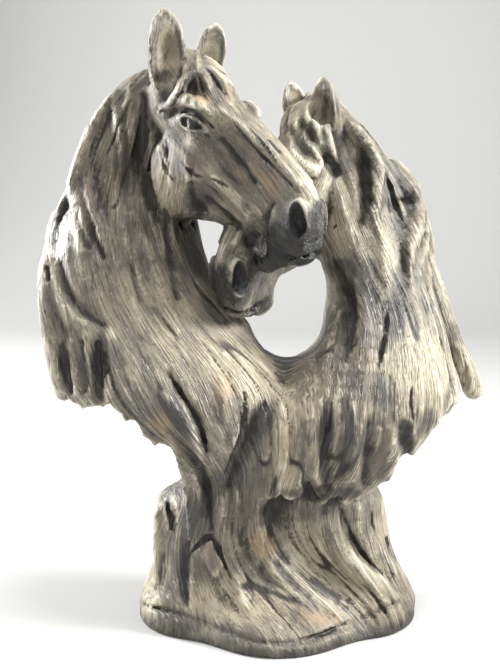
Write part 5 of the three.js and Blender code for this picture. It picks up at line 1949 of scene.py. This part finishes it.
# Middle in the picture, half sizes in pixels, lean in degrees and strength.
SPOTS = {
    Tint.SLATE: [
        (256, 430, 13, 34, 24), (236, 470, 14, 30, 18), (326, 440, 11, 38, 2), (352, 450, 16, 40, 0, 0.8),
        (427, 420, 13, 14, 0, 0.65), (192, 520, 16, 26), (184, 578, 7, 34), (180, 420, 12, 34, -30),
        (100, 366, 12, 30, 0, 0.9), (366, 290, 18, 40, 0, 0.75), (396, 315, 16, 32, 0, 0.8),
        (382, 394, 16, 18, 0, 0.6), (214, 490, 10, 26, 0, 0.7), (390, 556, 12, 20, -20, 0.6),
    ],
    Tint.SHADOW: [
        (190, 250, 24, 34, -10, 0.9), (345, 305, 13, 50), (340, 270, 20, 12, 0, 0.8),
        (127, 160, 16, 44, 0, 0.75), (366, 180, 8, 34), (320, 494, 46, 9), (207, 500, 9, 26),
        (250, 505, 20, 20, 0, 0.4), (150, 220, 12, 26, -14, 0.6), (290, 515, 30, 14, 0, 0.5),
        (408, 440, 8, 20), (196, 205, 12, 12, 0, 0.6), (163, 104, 6, 20, 0, 1.0), (147, 58, 4, 26, 8, 0.9),
        (163, 76, 12, 8, 0, 0.8), (396, 200, 6, 28, -18, 1.0), (190, 222, 26, 12, 10, 0.6),
        (254, 108, 9, 10, 0, 0.55), (337, 172, 6, 8), (198, 207, 9, 10, 0, 0.8),
        (191, 121, 17, 12, 20, 0.7), (206, 80, 30, 18, 20, 0.45), (324, 102, 9, 26, -8, 0.8),
        (286, 96, 5, 14, 0, 0.7),
    ],
    Tint.RUST: [
        (201, 97, 9, 7), (163, 422, 13, 14), (262, 545, 18, 16), (225, 390, 12, 20),
        (270, 186, 14, 18, -30, 0.25), (316, 620, 24, 10, 0, 0.6), (285, 440, 10, 30, 0, 0.4),
        (126, 140, 5, 16, 0, 0.5), (274, 90, 10, 12, 0, 0.5), (262, 172, 9, 34, -38, 0.3), (205, 97, 8, 6),
        (172, 60, 5, 14, 0, 0.4), (228, 92, 6, 12, 0, 0.6),
    ],
    # Cream patches are partly cream paint and partly painted light where the lamps fall, as on the near
    # cheeks and the lower right of the stump.
    Tint.CREAM_AND_LIGHT: [
        (240, 370, 60, 30, 25), (150, 320, 40, 60, -30, 0.6), (285, 450, 16, 50, 0, 0.5),
        (420, 370, 40, 44), (334, 208, 34, 48, 0, 1.0), (380, 250, 18, 40, 0, 0.7),
        (290, 150, 12, 60, -36, 0.3), (310, 400, 30, 30, 0, 0.7), (230, 600, 60, 24, 0, 0.6),
        (360, 590, 54, 40, 0, 1.0), (150, 570, 18, 40, 0, 0.7), (392, 540, 22, 44, 0, 0.6),
        (250, 600, 50, 30, 0, 0.5), (310, 555, 24, 44, -30, 1.0), (172, 512, 12, 20, 0, 0.4),
        (285, 480, 14, 14, 0, 0.7), (440, 250, 12, 60, 0, 0.8), (70, 150, 26, 60, 20, 0.5),
        (158, 184, 18, 26, 0, 1.0), (317, 167, 8, 6), (160, 200, 18, 18, 0, 0.5),
    ],
    Tint.MAUVE: [
        (90, 200, 10, 34, 0, 0.8), (210, 556, 14, 18), (190, 160, 20, 16, 0, 0.5),
        (400, 590, 20, 20, 0, 0.6), (420, 400, 16, 10, 0, 0.5), (416, 220, 8, 24, 0, 0.6),
        (380, 470, 12, 20, 0, 0.6), (268, 130, 16, 30, -40, 0.5), (245, 160, 22, 34, -40, 0.6),
        (206, 78, 26, 20, 20, 0.6),
    ],
}
PATCHES = [Patch(tint, *spot) for tint, spots in SPOTS.items() for spot in spots]
# Locks from root to tip, along, sideways and up, in shares of the head.
TALL_FORELOCK = [
    [(-0.02, 0.05, 0.07), (0.05, 0.09, 0.085), (0.10, 0.123, 0.050), (0.115, 0.136, -0.02),
     (0.095, 0.138, -0.09), (0.07, 0.13, -0.15)],
    [(-0.02, 0.03, 0.10), (0.06, 0.07, 0.11), (0.12, 0.095, 0.095), (0.165, 0.11, 0.055)],
    [(-0.02, 0.01, 0.11), (0.07, 0.045, 0.128), (0.15, 0.065, 0.118), (0.21, 0.075, 0.080)],
    [(-0.02, -0.01, 0.12), (0.08, 0.015, 0.137), (0.17, 0.035, 0.130), (0.245, 0.045, 0.105)],
    [(-0.02, -0.02, 0.12), (0.08, -0.015, 0.140), (0.17, 0.005, 0.137), (0.26, 0.02, 0.117)],
    [(-0.02, -0.04, 0.11), (0.08, -0.045, 0.130), (0.17, -0.03, 0.130), (0.24, -0.01, 0.115)],
    [(-0.01, -0.06, 0.09), (0.07, -0.075, 0.110), (0.15, -0.07, 0.110), (0.21, -0.05, 0.108)],
    [(0.03, 0.06, 0.10), (0.09, 0.09, 0.10), (0.10, 0.12, 0.06), (0.07, 0.135, 0.02)],
]
OTHER_FORELOCK = [
    [(-0.03, 0.06, 0.07), (0.05, 0.10, 0.08), (0.12, 0.135, 0.03), (0.17, 0.150, -0.05),
     (0.22, 0.150, -0.13)],
    [(-0.03, 0.04, 0.09), (0.06, 0.08, 0.11), (0.13, 0.11, 0.08), (0.18, 0.125, 0.02), (0.20, 0.135, -0.04)],
    [(-0.03, 0.02, 0.10), (0.06, 0.05, 0.125), (0.14, 0.08, 0.11), (0.21, 0.09, 0.07)],
    [(-0.02, 0.00, 0.12), (0.08, 0.02, 0.137), (0.17, 0.04, 0.128), (0.25, 0.05, 0.10)],
    [(-0.02, -0.02, 0.12), (0.08, -0.01, 0.140), (0.16, 0.01, 0.135), (0.23, 0.02, 0.115)],
    [(-0.02, -0.04, 0.11), (0.08, -0.05, 0.130), (0.16, -0.05, 0.125), (0.22, -0.03, 0.11)],
]


def fitted(places: np.ndarray, box: tuple[Vector, Vector]) -> tuple[float, np.ndarray]:
    """Finds the scale and shift from the drawn millimetres to the frame.

    Args:
        places: The skin in drawn millimetres.
        box: The frame's low and high corner of the casting, in metres.

    Returns:
        The scale and the shift.
    """
    low, high = np.array(box[0]), np.array(box[1])
    scale = (high[2] - low[2]) / np.ptp(places[:, 2])
    middle = (places.min(0) + places.max(0)) / 2
    shift = (low + high) / 2 - middle * scale
    shift[2] = low[2] - places[:, 2].min() * scale
    return float(scale), shift


def build_heads() -> list[HorseHead]:
    """Sets up the two heads where the photograph shows them.

    Returns:
        The tall horse's head and the other's.
    """
    tall = HorseHead(
        pose=head_pose((-45, 14, 388), 1, 36, 40.5, 152),
        ears=[Ear((-57, 6, 380), (-57, 0, 431), (0.25, -0.95, 0), 0.92),
              Ear((-32, 32, 386), (-23, 28, 423), (0.1, -0.95, 0), 1.05)],
        crest=0.055, chin_lift=0.0, awake=True, forelock=TALL_FORELOCK)
    other = HorseHead(
        pose=head_pose((50, 32, 361), -1, 40, 50, 150),
        ears=[Ear((56, 18, 352), (50, 12, 386), (-0.7, -0.7, 0), 1.15),
              Ear((34, 38, 354), (28, 30, 383), (0.5, -0.85, 0), 1.1)],
        crest=-0.005, chin_lift=0.055, awake=False, forelock=OTHER_FORELOCK)
    return [tall, other]


def weighed(swells: list[np.ndarray], sizes: tuple[Spot, ...]) -> np.ndarray:
    """Returns the sum of some swells, each counted in its size and times its share."""
    return sum(found / size * share for found, (size, share) in zip(swells, sizes))


def put_masks(mesh: bpy.types.Mesh, casting: Casting, scale: float, shift: np.ndarray) -> None:
    """Levels the underside and stores what the paint follows.

    Args:
        mesh: The finished mesh.
        casting: The casting that it was skinned from.
        scale: Metres to a drawn millimetre.
        shift: The drawn origin in the frame.
    """
    places = read_places(mesh)
    places[:, 2] = np.maximum(places[:, 2], 0.0)
    mesh.vertices.foreach_set("co", places.ravel())
    mesh.update()
    for name, value in casting.masks((places - shift) / scale).items():
        put_attribute(mesh, name, value)
    swells = swell(mesh, ROUNDS)
    put_attribute(mesh, "raised", np.clip(weighed(swells, RAISED), -1, 1.2))
    put_attribute(mesh, "recess", np.clip(-weighed(swells, RECESSED), 0, 1.2))


def build_casting() -> tuple[bpy.types.Object, Vector]:
    """Models, scores, thins and paints the casting.

    Returns:
        The finished piece, and the place in the frame that the camera looks at.
    """
    bust = Bust(TALL_NECK, OTHER_NECK, STUMP, HEM_FRONT, HEM_BACK, LOCKS, RUNS, Sight())
    casting = Casting(bust, build_heads(), WOOD, PATCHES)
    skin = casting.sculpt()
    scale, shift = fitted(skin.places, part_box(CASTING))
    LOG.info("skinned: %d vertices, scale %.6f", len(skin.places), scale)
    places = skin.places + skin.normals() * casting.relief(skin.places)[:, None]
    mesh = bpy.data.meshes.new("casting_clay")
    mesh.from_pydata((places * scale + shift).tolist(), [], skin.faces.tolist())
    masks = casting.masks(skin.places)
    for name in ("wood_run", "face_run", "on_face"):
        put_attribute(mesh, name, masks[name])
    piece = bpy.data.objects.new("casting_clay", mesh)
    bpy.context.scene.collection.objects.link(piece)
    ScoringTree().score(piece, DriftwoodPaint().build())
    piece = baked(piece, "scored_clay")
    thin = piece.modifiers.new("thin", "DECIMATE")
    thin.ratio = min(1.0, TRIANGLES_KEPT / (2 * len(piece.data.polygons)))
    piece = baked(piece, "horse_pair_driftwood")
    LOG.info("thinned: %d faces", len(piece.data.polygons))
    put_masks(piece.data, casting, scale, shift)
    piece.data.shade_smooth()
    return piece, Vector(np.array(LOOKED_AT) * scale + shift)


def main() -> None:
    """Builds the statue and its studio and hands the scene to the frame."""
    logging.basicConfig(level=logging.INFO, format="%(message)s")
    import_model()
    piece, target = build_casting()
    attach(piece, "root")
    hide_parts(CASTING)
    Studio(target).build()


if __name__ == "__main__":
    main()
